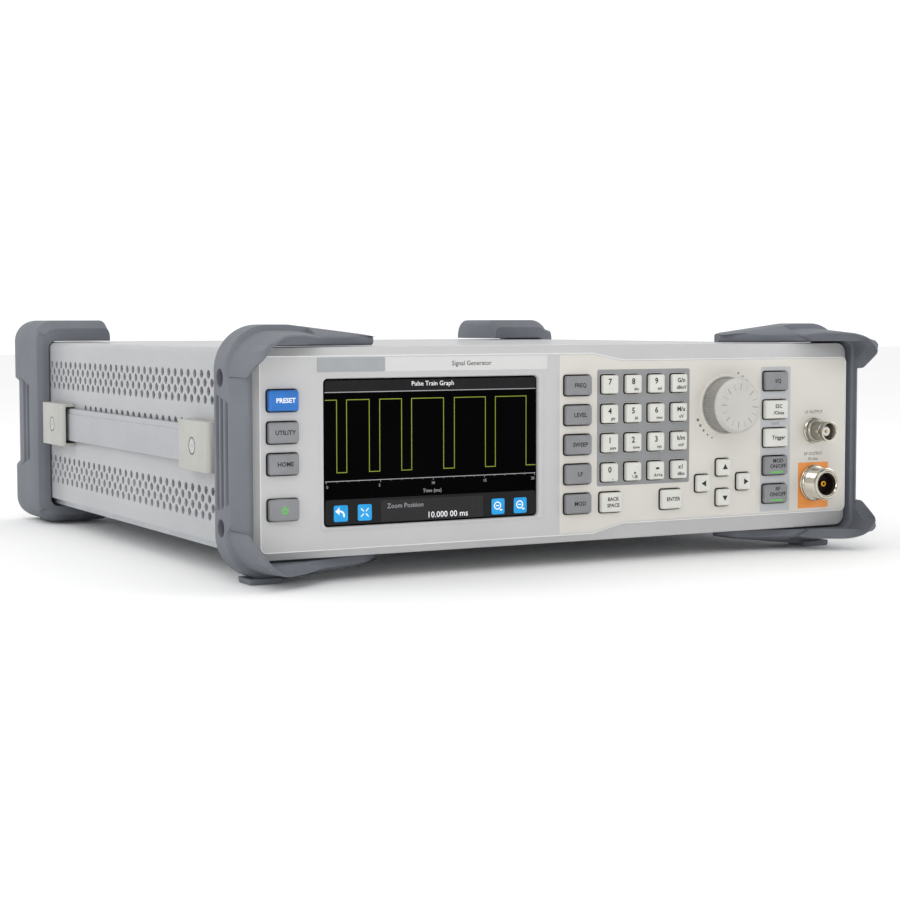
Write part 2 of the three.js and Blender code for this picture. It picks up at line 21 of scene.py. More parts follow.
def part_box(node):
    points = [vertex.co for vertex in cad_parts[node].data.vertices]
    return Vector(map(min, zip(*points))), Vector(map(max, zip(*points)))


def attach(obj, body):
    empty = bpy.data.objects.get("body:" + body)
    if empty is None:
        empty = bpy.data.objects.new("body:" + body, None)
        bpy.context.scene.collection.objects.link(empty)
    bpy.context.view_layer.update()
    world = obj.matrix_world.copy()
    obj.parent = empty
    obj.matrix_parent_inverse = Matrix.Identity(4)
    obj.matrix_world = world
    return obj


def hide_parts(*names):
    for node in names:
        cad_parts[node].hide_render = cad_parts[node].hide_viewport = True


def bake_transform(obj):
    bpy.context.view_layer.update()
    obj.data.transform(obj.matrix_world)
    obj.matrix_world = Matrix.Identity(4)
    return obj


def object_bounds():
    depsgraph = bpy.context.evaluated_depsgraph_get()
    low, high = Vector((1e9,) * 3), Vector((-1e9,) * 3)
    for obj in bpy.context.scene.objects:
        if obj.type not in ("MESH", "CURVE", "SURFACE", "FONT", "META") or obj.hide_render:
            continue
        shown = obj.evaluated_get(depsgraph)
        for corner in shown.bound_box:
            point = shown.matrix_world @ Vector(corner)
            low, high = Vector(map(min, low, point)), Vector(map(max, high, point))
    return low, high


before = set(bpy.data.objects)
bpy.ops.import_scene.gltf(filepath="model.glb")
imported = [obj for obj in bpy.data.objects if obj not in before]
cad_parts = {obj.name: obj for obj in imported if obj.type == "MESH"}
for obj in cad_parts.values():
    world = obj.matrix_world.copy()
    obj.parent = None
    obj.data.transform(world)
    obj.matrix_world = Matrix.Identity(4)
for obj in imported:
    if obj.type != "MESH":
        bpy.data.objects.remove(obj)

log = logging.getLogger("signal_generator")
CAD_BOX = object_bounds()

Faces = list[np.ndarray]
Solid = tuple[np.ndarray, Faces]
Corner = tuple[float, float, float]
Rim = Sequence[tuple[float, float]]

MM = 0.001
RING_PROUD = 0.9  # the knob's ring stands this far in front of the panel's face
CORNER = np.array([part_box("outer_cover")[0].x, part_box("front_bezel")[0].y + RING_PROUD * MM,
                   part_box("outer_cover")[0].z]) / MM


# ---- places -------------------------------------------------------------------------------------


@dataclass(frozen=True)
class Box:
    """A CAD node's box in the case's layout, in millimetres."""

    low: np.ndarray
    high: np.ndarray

    @property
    def middle(self) -> np.ndarray:
        """Centre of the box."""
        return (self.low + self.high) / 2

    @property
    def size(self) -> np.ndarray:
        """Width, depth and height of the box."""
        return self.high - self.low


def node_box(name: str) -> Box:
    """Box of a CAD node.

    Args:
        name: the node's name.
    Returns:
        Its box in the case's layout.
    """
    low, high = (np.array(corner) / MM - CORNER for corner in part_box(name))
    return Box(low, high)


CASE_WIDTH = float(node_box("outer_cover").size[0])
CASE_HEIGHT = float(node_box("outer_cover").size[2])
COVER_FRONT, COVER_END = (float(corner[1]) for corner in (node_box("outer_cover").low,
                                                          node_box("outer_cover").high))
BEZEL = node_box("front_bezel")
CASE_MIDDLE = float(BEZEL.middle[2])


class Facing(Enum):
    """Which way a flat piece looks: its u axis, v axis and depth axis, and the depth's sign."""

    FRONT = (0, 2, 1, 1)
    REAR = (0, 2, 1, -1)
    LEFT = (1, 2, 0, 1)
    RIGHT = (1, 2, 0, -1)
    BOTTOM = (0, 1, 2, 1)

    def lift(self, uv: np.ndarray, depth: float | np.ndarray, at: float) -> np.ndarray:
        """Points in the layout from flat points and how deep they lie behind the plane `at`.

        Args:
            uv: points in the plane, in mm.
            depth: depth behind the plane.
            at: where the plane is.
        Returns:
            Points as x, y and z.
        """
        u, v, across, sign = self.value
        points = np.empty(np.shape(uv)[:-1] + (3,))
        points[..., u] = uv[..., 0]
        points[..., v] = uv[..., 1]
        points[..., across] = at + sign * np.asarray(depth)
        return points


# ---- meshes -------------------------------------------------------------------------------------


def signed_volume(points: np.ndarray, faces: Faces) -> float:
    """Volume inside closed faces, by summing the tetrahedra from the origin to each fan triangle.

    Args:
        points: corner places.
        faces: blocks of faces, as rows of corner numbers.
    Returns:
        Volume, below zero where the faces look inward.
    """
    total = 0.0
    for block in faces:
        corners = points[block]
        first, rest = corners[:, :1], corners[:, 1:]
        total += float(np.einsum("ijk,ijk->", np.broadcast_to(first, rest[:, :-1].shape),
                                 np.cross(rest[:, :-1], rest[:, 1:])))
    return total / 6


@dataclass
class Shape:
    """Closed solids gathered into one mesh, each face with the number of its finish."""

    points: list[np.ndarray] = field(default_factory=list)
    faces: Faces = field(default_factory=list)
    marks: list[np.ndarray] = field(default_factory=list)
    count: int = 0

    def add(self, solid: Solid, finish: int = 0, within: dict[int, int] | None = None) -> "Shape":
        """Takes in one closed solid, turned the right way out.

        Args:
            solid: points and faces.
            finish: number of its finish in the list that the piece is built with.
            within: other finish numbers for some of its blocks of faces.
        Returns:
            This shape.
        """
        points, faces = solid
        inside_out = signed_volume(points, faces) < 0
        for k, block in enumerate(faces):
            self.faces.append((block[:, ::-1] if inside_out else block) + self.count)
            self.marks.append(np.full(len(block), (within or {}).get(k, finish)))
        self.points.append(points)
        self.count += len(points)
        return self

    def mirrored(self) -> "Shape":
        """The same shape on the other side of the case."""
        across = [points * (-1, 1, 1) + (CASE_WIDTH, 0, 0) for points in self.points]
        return Shape(across, [block[:, ::-1] for block in self.faces], self.marks, self.count)

    def mesh(self, name: str, crease: float, weld: float) -> bpy.types.Mesh:
        """Blender mesh of the shape in metres, smooth except across edges sharper than crease degrees.

        Args:
            name: the mesh's name.
            crease: angle in degrees.
            weld: distance in mm below which points merge, 0 for none.
        Returns:
            The mesh.
        """
        points = (np.vstack(self.points) + CORNER) * MM
        sizes = np.concatenate([np.full(len(block), block.shape[1]) for block in self.faces])
        corners = np.concatenate([block.ravel() for block in self.faces])
        mesh = bpy.data.meshes.new(name)
        mesh.vertices.add(len(points))
        mesh.vertices.foreach_set("co", points.astype(np.float32).ravel())
        mesh.loops.add(len(corners))
        mesh.loops.foreach_set("vertex_index", corners.astype(np.int32))
        mesh.polygons.add(len(sizes))
        mesh.polygons.foreach_set("loop_start", (np.cumsum(sizes) - sizes).astype(np.int32))
        mesh.polygons.foreach_set("material_index", np.concatenate(self.marks).astype(np.int32))
        mesh.update(calc_edges=True)
        if weld:
            work = bmesh.new()
            work.from_mesh(mesh)
            bmesh.ops.remove_doubles(work, verts=work.verts, dist=weld * MM)
            work.to_mesh(mesh)
            work.free()
        mesh.polygons.foreach_set("use_smooth", np.ones(len(mesh.polygons), bool))
        mesh.set_sharp_from_angle(angle=math.radians(crease))
        mesh.validate()
        return mesh


def build(name: str, shape: Shape, finishes: Sequence["Finish"], body: str = "root",
          replaces: Sequence[str] = (), crease: float = 32, weld: float = 0) -> bpy.types.Object:
    """Makes the piece from a shape, dresses it, and lets it ride on its body.

    Args:
        name: the piece's name.
        shape: its closed solids.
        finishes: the finishes that the shape's numbers stand for.
        body: CAD body that it rides on; empty where it is blended later.
        replaces: CAD nodes that it stands for.
        crease: angle in degrees above which an edge stays sharp.
        weld: distance in mm under which points are merged, or 0.
    Returns:
        The Blender object.
    """
    piece = bpy.data.objects.new(name, shape.mesh(name, crease, weld))
    bpy.context.scene.collection.objects.link(piece)
    for finish in finishes:
        piece.data.materials.append(finish.material())
    if body:
        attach(piece, body)
    if replaces:
        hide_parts(*replaces)
    log.info("%s: %d faces on %s", name, len(piece.data.polygons), body or "two bodies")
    return piece


# ---- outlines -----------------------------------------------------------------------------------


def rounded(corners: Iterable[Corner], steps: int = 5) -> np.ndarray:
    """Closed outline through corners, each with a radius.

    A rounded corner is the rational quadratic (1-t)^2 A + 2 w t (1-t) C + t^2 B, which is an exact arc
    where w is the sine of half the corner's angle.

    Args:
        corners: (u, v, radius) in order; a radius of 0 keeps the corner sharp.
        steps: steps in each arc.
    Returns:
        Points of the outline.
    """
    corners = list(corners)
    spots = np.array([corner[:2] for corner in corners], float)
    runs = []
    for i, (_, _, radius) in enumerate(corners):
        here = spots[i]
        if not radius:
            runs.append(here[None])
            continue
        before, after = (spots[i - 1] - here, spots[(i + 1) % len(spots)] - here)
        before, after = before / np.linalg.norm(before), after / np.linalg.norm(after)
        half = math.acos(float(np.clip(before @ after, -1, 1))) / 2
        start, end = (here + way * radius / math.tan(half) for way in (before, after))
        t = np.linspace(0, 1, steps + 1)[:, None]
        a, b, c = (1 - t) ** 2, 2 * math.sin(half) * t * (1 - t), t ** 2
        runs.append((a * start + b * here + c * end) / (a + b + c))
    return np.vstack(runs)


def rectangle(u0: float, u1: float, v0: float, v1: float, radius: float = 0, steps: int = 4) -> np.ndarray:
    """Outline of a rectangle with rounded corners."""
    return rounded([(u0, v0, radius), (u1, v0, radius), (u1, v1, radius), (u0, v1, radius)], steps)


def disc(u: float, v: float, radius: float, sides: int = 24) -> np.ndarray:
    """Outline of a circle."""
    turn = np.linspace(0, 2 * np.pi, sides, endpoint=False)
    return np.column_stack([u + radius * np.cos(turn), v + radius * np.sin(turn)])


def around(box: Box, grow: float, radius: float, steps: int = 3) -> np.ndarray:
    """Outline round a box as seen from the front."""
    return rectangle(box.low[0] - grow, box.high[0] + grow, box.low[2] - grow, box.high[2] + grow, radius,
                     steps)


def offset(loop: np.ndarray, grow: float | np.ndarray) -> np.ndarray:
    """Moves an outline outward: each corner goes along (n1 + n2) / (1 + n1.n2), n1 and n2 its edges' normals.

    Args:
        loop: the outline.
        grow: how far outward, in mm.
    Returns:
        The moved outline.
    """
    edge = np.roll(loop, -1, 0) - loop
    edge = edge / np.linalg.norm(edge, axis=1, keepdims=True)
    normal = np.column_stack([edge[:, 1], -edge[:, 0]])
    mitre = normal + np.roll(normal, 1, 0)
    return loop + grow * mitre / (mitre * normal).sum(1, keepdims=True)


# ---- solids -------------------------------------------------------------------------------------


def triangulated(loops: Sequence[np.ndarray], lines: Sequence[tuple[int, int]] = ()) -> np.ndarray:
    """Triangles that fill the first outline outside the others, with lines kept as edges.

    Args:
        loops: the outline, then its holes.
        lines: pairs of point numbers that have to be joined by edges.
    Returns:
        Triangles as numbers of the points of all loops in a row.
    """
    flat = np.vstack(loops)
    starts = np.cumsum([0] + [len(loop) for loop in loops])
    rings = [list(range(a, b)) for a, b in zip(starts[:-1], starts[1:])]
    out = delaunay_2d_cdt([Vector(p) for p in flat], list(lines), rings, 1, 1e-5)
    same = [origin[0] for origin in out[3]]
    kept = [[same[i] for i in face] for face, inside in zip(out[2], out[5]) if inside == [0]]
    triangles = np.array(kept)
    a, b, c = (flat[triangles[:, k]] for k in range(3))
    turned_over = np.cross(b - a, c - a) < 0
    triangles[turned_over] = triangles[turned_over][:, ::-1]
    return triangles


def stacked(outline: list, holes: list, pockets: list, lift: Callable) -> Solid:
    """Solid between flat layers: each outline, hole and pocket is a list of (loop, depth) from the face back.

    Args:
        outline: layers of the outer edge.
        holes: layers of each hole that goes through.
        pockets: layers of each blind hole, closed by a floor at its last layer.
        lift: turns (flat points, depth) into points.
    Returns:
        Points and faces.
    """
    points, faces, front, back, start = [], [], [], [], 0
    for kind, stacks in (("edge", [outline]), ("hole", holes), ("pocket", pockets)):
        for stack in stacks:
            n, last = len(stack[0][0]), start + (len(stack) - 1) * len(stack[0][0])
            points += [lift(loop, depth) for loop, depth in stack]
            near = (start + n * np.arange(len(stack) - 1)[:, None] + np.arange(n)).ravel()
            near_next = (start + n * np.arange(len(stack) - 1)[:, None] + np.roll(np.arange(n), -1)).ravel()
            walls = np.column_stack([near_next, near, near + n, near_next + n])
            faces.append(walls if kind == "edge" else walls[:, ::-1])
            front.append(start + np.arange(n))
            if kind == "pocket":
                faces.append((last + np.arange(n))[None])
            else:
                back.append(last + np.arange(n))
            start += n * len(stack)
    stacks = [outline, *holes]
    faces.append(np.concatenate(front)[triangulated([s[0][0] for s in [*stacks, *pockets]])])
    faces.append(np.concatenate(back)[triangulated([s[-1][0] for s in stacks])][:, ::-1])
    return np.vstack(points), faces


def plate(outline: np.ndarray, facing: Facing, at: float, rim: Rim, holes: Sequence[np.ndarray] = (),
          hole_rim: Rim = (), pockets: Sequence[np.ndarray] = (), pocket_rim: Rim = ()) -> Solid:
    """Flat piece whose edges follow rims: steps of (how far the edge draws back, depth).

    Args:
        outline: outer edge.
        facing: the way that it looks.
        at: plane of its face.
        rim: steps of the outer edge; it draws back inward.
        holes: outlines of holes.
        hole_rim: steps of the holes' edges, which draw back outward; the outer rim if empty.
        pockets: outlines of blind holes.
        pocket_rim: steps of their edges down to the floor.
    Returns:
        Points and faces.
    """
    draw = lambda loop, steps, sign: [(offset(loop, sign * back), depth) for back, depth in steps]
    return stacked(draw(outline, rim, -1), [draw(hole, hole_rim or rim, 1) for hole in holes],
                   [draw(pocket, pocket_rim, 1) for pocket in pockets],
                   lambda uv, depth: facing.lift(uv, depth, at))


def tube(rings: np.ndarray, looped: bool = False) -> Solid:
    """Closed skin through rings of points, with its ends capped, or joined end to end where looped.

    Args:
        rings: array of rings, points and coordinates.
        looped: whether the last ring joins the first.
    Returns:
        Points and faces.
    """
    count, n = rings.shape[:2]
    index = np.arange(count * n).reshape(count, n)
    near = index if looped else index[:-1]
    far = np.roll(index, -1, 0) if looped else index[1:]
    quads = np.stack([near, np.roll(near, -1, 1), np.roll(far, -1, 1), far], -1).reshape(-1, 4)
    faces = [quads] if looped else [quads, index[:1, ::-1], index[-1:]]
    return rings.reshape(-1, 3), faces


def turned(profile: Sequence[tuple[float, float]], centre: tuple[float, float], facing: Facing, at: float,
           sides: int = 40, relief: Callable | None = None, looped: bool = False) -> Solid:
    """Solid of revolution: each (radius, depth) of the profile is carried round as radius (cos t, sin t).

    Args:
        profile: (radius, depth) steps.
        centre: middle in the facing's plane.
        facing: direction of the axis.
        at: plane that depths start from.
        sides: steps round.
        relief: gives new radii and depths from radii, depths and angles.
        looped: whether the profile closes on itself as a ring.
    Returns:
        Points and faces.
    """
    angle = np.linspace(0, 2 * np.pi, sides, endpoint=False)[None]
    radius, depth = (np.array(profile, float)[:, k, None] + 0 * angle for k in (0, 1))
    if relief:
        radius, depth = relief(radius, depth, angle)
    uv = np.stack([centre[0] + radius * np.cos(angle), centre[1] + radius * np.sin(angle)], -1)
    return tube(facing.lift(uv, depth, at), looped)


class Lettering:
    """Letters as thin closed solids, cut once for each text."""

    CAPITAL = 0.7  # height of a capital in the type's own size
    made: dict[tuple[str, float], tuple[np.ndarray, Faces]] = {}

    @classmethod
    def flat(cls, text: str, weight: float) -> tuple[np.ndarray, Faces]:
        """The text as a solid one unit thick and one capital high, centred, its strokes thickened by weight.

        Args:
            text: the words.
            weight: how much thicker the strokes are, in type sizes.
        Returns:
            Points and faces, kept for the next use.
        """
        if (text, weight) in cls.made:
            return cls.made[text, weight]
        curve = bpy.data.curves.new("letters", "FONT")
        curve.body = text
        curve.align_x = curve.align_y = "CENTER"
        curve.extrude = 0.5
        curve.offset = weight
        curve.resolution_u = 2
        curve.space_line = 0.85
        stand_in = bpy.data.objects.new("letters", curve)
        bpy.context.scene.collection.objects.link(stand_in)
        mesh = bpy.data.meshes.new_from_object(stand_in.evaluated_get(bpy.context.evaluated_depsgraph_get()))
        work = bmesh.new()
        work.from_mesh(mesh)
        bmesh.ops.remove_doubles(work, verts=work.verts, dist=1e-4)
        work.to_mesh(mesh)
        work.free()
        points = np.array([v.co for v in mesh.vertices]) / (cls.CAPITAL, cls.CAPITAL, 1)
        by_size: dict[int, list] = {}
        for polygon in mesh.polygons:
            by_size.setdefault(len(polygon.vertices), []).append(list(polygon.vertices))
        cls.made[text, weight] = (points, [np.array(rows) for rows in by_size.values()])
        bpy.data.objects.remove(stand_in)
        bpy.data.curves.remove(curve)
        bpy.data.meshes.remove(mesh)
        return cls.made[text, weight]

    @classmethod
    def solid(cls, text: str, height: float, centre: tuple[float, float], at: float, proud: float = 0.04,
              sunk: float = 0.1, weight: float = 0.0) -> Solid:
        """Text on a surface that faces the front.

        Args:
            text: what it says.
            height: height of a capital.
            centre: x and z of its middle.
            at: the surface's y.
            proud: how far it stands out.
            sunk: how far it goes in.
            weight: how much thicker than the type's own its strokes are, in type sizes.
        Returns:
            Points and faces.
        """
        points, faces = cls.flat(text, weight)
        uv = points[:, :2] * height + centre
        return Facing.FRONT.lift(uv, (0.5 - points[:, 2]) * (proud + sunk) - proud, at), faces


# ---- finishes -----------------------------------------------------------------------------------


def linear(code: str, alpha: float = 1.0) -> tuple[float, float, float, float]:
    """Linear colour from an sRGB hex code.

    Args:
        code: colour as a hex code.
        alpha: opacity.
    Returns:
        Red, green, blue and alpha.
    """
    values = [int(code[i:i + 2], 16) / 255 for i in (1, 3, 5)]
    red, green, blue = (v / 12.92 if v <= 0.04045 else ((v + 0.055) / 1.055) ** 2.4 for v in values)
    return red, green, blue, alpha


def add_node(tree: bpy.types.NodeTree, kind: str, inputs: dict | None = None, **settings) -> bpy.types.Node:
    """Adds a node.

    Args:
        tree: the material's node tree.
        kind: the node's type name without its ShaderNode prefix.
        inputs: values or other nodes' sockets for its inputs.
        settings: the node's own properties.
    Returns:
        The node.
    """
    made = tree.nodes.new("ShaderNode" + kind)
    for key, value in settings.items():
        setattr(made, key, value)
    for key, value in (inputs or {}).items():
        if isinstance(value, bpy.types.NodeSocket):
            tree.links.new(value, made.inputs[key])
        else:
            made.inputs[key].default_value = value
    return made


@dataclass(frozen=True)
class Finish:
    """A moulded, sprayed or rolled surface: mottled colour, uneven gloss and a fine grain."""

    name: str
    colour: str
    shade: str
    roughness: float
    grain: float  # mm from one grain to the next
    relief: float  # mm from the grain's low to its high
    metallic: float = 0
    mottle: float = 30  # mm from one patch of the mottle to the next
    gloss_spread: float = 0.08
    coat: float = 0
    ior: float = 1.5

    def colours(self, tree: bpy.types.NodeTree, place: bpy.types.NodeSocket) -> bpy.types.NodeSocket:
        """Colour: a slow cloud between the colour and its shade.

        Args:
            tree: the material's node tree.
            place: where the pattern is read from.
        Returns:
            Colour output.
        """
        cloud = add_node(tree, "TexNoise", {"Vector": place, "Scale": 1 / (self.mottle * MM), "Detail": 3.0})
        ramp = add_node(tree, "ValToRGB", {"Fac": cloud.outputs["Fac"]})
        ramp.color_ramp.elements[0].position = 0.3
        ramp.color_ramp.elements[1].position = 0.7
        ramp.color_ramp.elements[0].color = linear(self.shade)
        ramp.color_ramp.elements[1].color = linear(self.colour)
        return ramp.outputs["Color"]

    def height(self, tree: bpy.types.NodeTree, place: bpy.types.NodeSocket) -> bpy.types.NodeSocket:
        """Height of the grain from 0 to 1."""
        grain = add_node(tree, "TexNoise", {"Vector": place, "Scale": 1 / (self.grain * MM), "Detail": 2.0})
        return grain.outputs["Fac"]

    def material(self) -> bpy.types.Material:
        """The finish's material, made once.

        Returns:
            The material, dressed with its nodes.
        """
        if self.name in bpy.data.materials:
            return bpy.data.materials[self.name]
        made = bpy.data.materials.new(self.name)
        made.use_nodes = True
        tree = made.node_tree
        shader = tree.nodes["Principled BSDF"]
        place = add_node(tree, "TexCoord").outputs["Object"]
        height = self.height(tree, place)
        gloss = add_node(tree, "MapRange", {"Value": height, "From Min": 0.25, "From Max": 0.75,
                                            "To Min": self.roughness - self.gloss_spread,
                                            "To Max": self.roughness + self.gloss_spread})
        bump = add_node(tree, "Bump", {"Height": height, "Distance": self.relief * MM})
        tree.links.new(self.colours(tree, place), shader.inputs["Base Color"])
        tree.links.new(gloss.outputs["Result"], shader.inputs["Roughness"])
        tree.links.new(bump.outputs["Normal"], shader.inputs["Normal"])
        shader.inputs["Metallic"].default_value = self.metallic
        if not self.metallic:
            shader.inputs["IOR"].default_value = self.ior
        if self.coat:
            shader.inputs["Coat Weight"].default_value = self.coat
            shader.inputs["Coat Roughness"].default_value = 0.08
        self.extra(tree, shader)
        return made

    def extra(self, tree: bpy.types.NodeTree, shader: bpy.types.Node) -> None:
        """What a special finish adds."""


@dataclass(frozen=True)
class Machined(Finish):
    """Turned or drawn metal: fine lines round or along the part, drawn as stretched noise."""

    stretch: tuple[float, float, float] = (1, 8, 1)  # how much finer the lines are packed along each axis

    def height(self, tree: bpy.types.NodeTree, place: bpy.types.NodeSocket) -> bpy.types.NodeSocket:
        """Height of the tool lines from 0 to 1.

        Args:
            tree: the material's node tree.
            place: where the pattern is read from.
        Returns:
            Height output.
        """
        drawn = add_node(tree, "Mapping", {"Vector": place, "Scale": self.stretch})
        lines = add_node(tree, "TexNoise", {"Vector": drawn.outputs["Vector"], "Scale": 1 / (self.grain * MM),
                                            "Detail": 2.0})
        return lines.outputs["Fac"]


@dataclass(frozen=True)
class Lit(Finish):
    """A picture element that shines by itself, behind a coating that keeps reflections low."""

    ior: float = 1.14
    glow: float = 1.0

    def extra(self, tree: bpy.types.NodeTree, shader: bpy.types.Node) -> None:
        """Light of the element's own colour."""
        shader.inputs["Emission Color"].default_value = linear(self.colour)
        shader.inputs["Emission Strength"].default_value = self.glow


@dataclass(frozen=True)
class Printed(Finish):
    """Circuit board: solder resist with a fine pattern of tracks, drawn 2 mm wide so that it shows."""

    track: str = "#3F7A55"

    def colours(self, tree: bpy.types.NodeTree, place: bpy.types.NodeSocket) -> bpy.types.NodeSocket:
        """Resist, lighter where a track runs under it.

        Args:
            tree: the material's node tree.
            place: where the pattern is read from.
        Returns:
            Colour output.
        """
        cells = add_node(tree, "TexBrick", {"Vector": place, "Scale": 1 / (8 * MM), "Mortar Size": 0.12,
                                            "Color1": linear(self.colour), "Color2": linear(self.shade),
                                            "Mortar": linear(self.track)})
        return cells.outputs["Color"]


# Acrylic stoving paint on steel sheet: a low orange peel and soft gloss.
COVER_PAINT = Finish("stoved_acrylic_paint", "#A8A9AB", "#A2A3A6", 0.42, 1.6, 0.012, mottle=60, coat=0.15)
# Inside of the cover's sheet: painted shade, a dark colour standing in for the shadow inside the case behind
# the vents.
COVER_INSIDE_SHADE = Finish("painted_shade_cover_inside", "#1A1B1D", "#151618", 0.7, 1.6, 0.02, mottle=60)
# Dark sheet behind the vents: painted shade standing in for the dark inside of the case seen through them;
# deep grey and quite matt.
VENT_SHADE_SHEET = Finish("painted_shade_vent_sheet", "#141515", "#0C0D0D", 0.95, 0.8, 0.3, mottle=2.5,
                     gloss_spread=0.03)
# Moulded ABS, spark eroded to a satin: cool light grey.
PANEL_ABS = Finish("satin_moulded_abs_light_grey", "#BFBFBF", "#B9B9BA", 0.5, 0.9, 0.012, mottle=40)
# The bead round the panel's face carries a painted highlight: its colour is lighter than the panel's, and it
# is glossier.
HIGHLIGHT_BEAD_ABS = Finish("painted_highlight_abs_bead", "#E2E2E2", "#DADADA", 0.3, 0.9, 0.006, mottle=20)
# The panel's insert: the same ABS in a warmer grey.
INSERT_ABS = Finish("satin_moulded_abs_warm_grey", "#D2CFC8", "#CCC9C2", 0.52, 0.9, 0.012, mottle=40)
# Soft thermoplastic rubber, matt, with a leathery grain that breaks up the light.
BUMPER_RUBBER = Finish("moulded_thermoplastic_rubber", "#696D74", "#61656C", 0.62, 0.8, 0.03, mottle=25,
                       gloss_spread=0.1)
FOOT_RUBBER = Finish("moulded_foot_rubber", "#666A71", "#5D6168", 0.75, 0.7, 0.03, mottle=12)
# Silicone keys with a hard sprayed skin: satin, slightly uneven.
GREY_KEY = Finish("sprayed_silicone_dark_grey", "#87888B", "#7E7F82", 0.5, 0.6, 0.01, mottle=8)
WHITE_KEY = Finish("sprayed_silicone_warm_white", "#D6D6CF", "#CDCDC7", 0.5, 0.6, 0.01, mottle=8)
BLUE_KEY = Finish("sprayed_silicone_blue", "#2273C4", "#1B66B4", 0.42, 0.6, 0.01, mottle=8)
# Painted shade in the gap round each key: the keys' lower side walls and flanges are dark where the gap's
# shadow falls.
KEY_GAP_SHADE = Finish("painted_shade_key_gap", "#3A3A3B", "#333334", 0.7, 0.6, 0.01, mottle=8)
KNOB_ABS = Finish("moulded_abs_knob_grey", "#C0BFBA", "#B8B7B2", 0.45, 0.7, 0.012, mottle=12)
# The knob's fluted grip is a darker rubbery sleeve.
KNOB_GRIP = Finish("rubbery_knob_grip_grey", "#9C9A96", "#92908C", 0.6, 0.7, 0.02, mottle=12)
KNOB_MARK = Finish("engraved_knob_mark_grey", "#77766F", "#6F6E69", 0.6, 0.7, 0.012, mottle=12)
KNOB_PALE_MARK = Finish("engraved_knob_mark_pale", "#A9A8A3", "#A1A09B", 0.6, 0.7, 0.012, mottle=12)
# Glass-filled nylon caps of the handle: greenish ivory, a little glossy.
CAP_NYLON = Finish("glass_filled_nylon_ivory", "#ACADA7", "#A4A59F", 0.45, 0.9, 0.02, mottle=10)
# Vinyl over spring steel: satin and smooth.
STRAP_VINYL = Finish("satin_vinyl_strap", "#A6A8AC", "#9EA0A4", 0.48, 1.2, 0.02, mottle=40)
# Screen-printed inks: flat and matt.
DARK_INK = Finish("screen_print_ink_dark", "#131315", "#19191C", 0.6, 0.5, 0.004, mottle=5)
GREY_INK = Finish("screen_print_ink_grey", "#6C6C6C", "#757575", 0.6, 0.5, 0.004, mottle=5)
WHITE_INK = Finish("screen_print_ink_white", "#F4F7FA", "#EBEFF3", 0.55, 0.5, 0.004, mottle=5)
ZONE_INK = Finish("screen_print_zone_grey", "#8C8E90", "#86888A", 0.55, 0.9, 0.01, mottle=18)
STRIP_INK = Finish("screen_print_zone_pale_grey", "#B6B8BB", "#B0B2B5", 0.55, 0.9, 0.01, mottle=18)
ORANGE_INK = Finish("screen_print_ink_orange", "#E8964C", "#DB8733", 0.5, 0.8, 0.008, mottle=9)
LABEL_FILM = Finish("polyester_label_film", "#CFCFCE", "#CACACA", 0.4, 1.5, 0.004, mottle=25)
LABEL_SILVER = Finish("polyester_label_film_silver", "#A4A7A9", "#9DA0A2", 0.38, 1.2, 0.004, metallic=0.2,
                      mottle=14)
# Hardened clear window over the display, black behind: deep and glossy.
WINDOW = Finish("coated_window_acrylic", "#040405", "#070708", 0.14, 4.0, 0.002, mottle=60, gloss_spread=0.03,
                ior=1.03)
BAR_PICTURE = Lit("display_bar_charcoal", "#1B1B1C", "#202021", 0.25, 3.0, 0.001, glow=0.5)
BOX_PICTURE = Lit("display_box_charcoal", "#262627", "#2B2B2C", 0.25, 3.0, 0.001, glow=0.5)
LINE_PICTURE = Lit("display_line_grey", "#8D8E90", "#7F8082", 0.3, 2.0, 0.001, glow=0.5)
TRACE_PICTURE = Lit("display_trace_yellow_green", "#7C8735", "#6F7A2C", 0.3, 2.0, 0.001, glow=0.42)
TEXT_PICTURE = Lit("display_text_white", "#DCDDDF", "#CCCDCF", 0.3, 2.0, 0.001, glow=0.5)
ICON_PICTURE = Lit("display_icon_blue", "#2A86BB", "#1C6CA2", 0.3, 3.0, 0.001, mottle=4, glow=0.7)
GREEN_LAMP = Lit("green_lamp_lens", "#4DB837", "#43A92E", 0.3, 1.0, 0.002, glow=0.45)
# Bright nickel on turned brass: sharp reflections, faint tool lines.
NICKEL = Machined("bright_nickel_on_turned_brass", "#D6D2C6", "#C2BDAF", 0.16, 0.5, 0.002, metallic=1,
                  gloss_spread=0.05)
DULL_NICKEL = Machined("satin_nickel_on_turned_brass", "#A9A69C", "#948F84", 0.36, 0.4, 0.006, metallic=1)
GOLD = Machined("gold_plated_contact", "#D9A441", "#C8912F", 0.22, 0.4, 0.002, metallic=1, gloss_spread=0.05)
ZINC = Machined("bright_zinc_on_steel_screw", "#C9CBCC", "#B4B7B9", 0.26, 0.5, 0.004, metallic=1)
# Black oxide on steel screws; in the handle caps the same dark finish is painted shade.
BLACK_OXIDE_AND_SHADE = Machined("black_oxide_and_painted_shade", "#2B2C2E", "#232426", 0.4, 0.5, 0.004, metallic=0.8)
STEEL = Machined("rolled_galvanised_steel", "#B6B9BC", "#A3A7AB", 0.38, 2.5, 0.01, metallic=1,
                 stretch=(1, 6, 1))
PTFE = Finish("machined_ptfe_insulator", "#EDEBE4", "#E2E0D8", 0.4, 0.4, 0.004, mottle=2)
BLACK_PLASTIC = Finish("moulded_black_polycarbonate", "#17181A", "#1E1F22", 0.45, 0.8, 0.02, mottle=15)
DARK_BORE = Finish("oxidised_bore_dark_brown", "#120909", "#1C0D0C", 0.5, 0.5, 0.004, mottle=3)
BOARD = Printed("glass_epoxy_circuit_board", "#1F5A3A", "#1C5235", 0.4, 1.5, 0.02, gloss_spread=0.06)


# ---- cover --------------------------------------------------------------------------------------


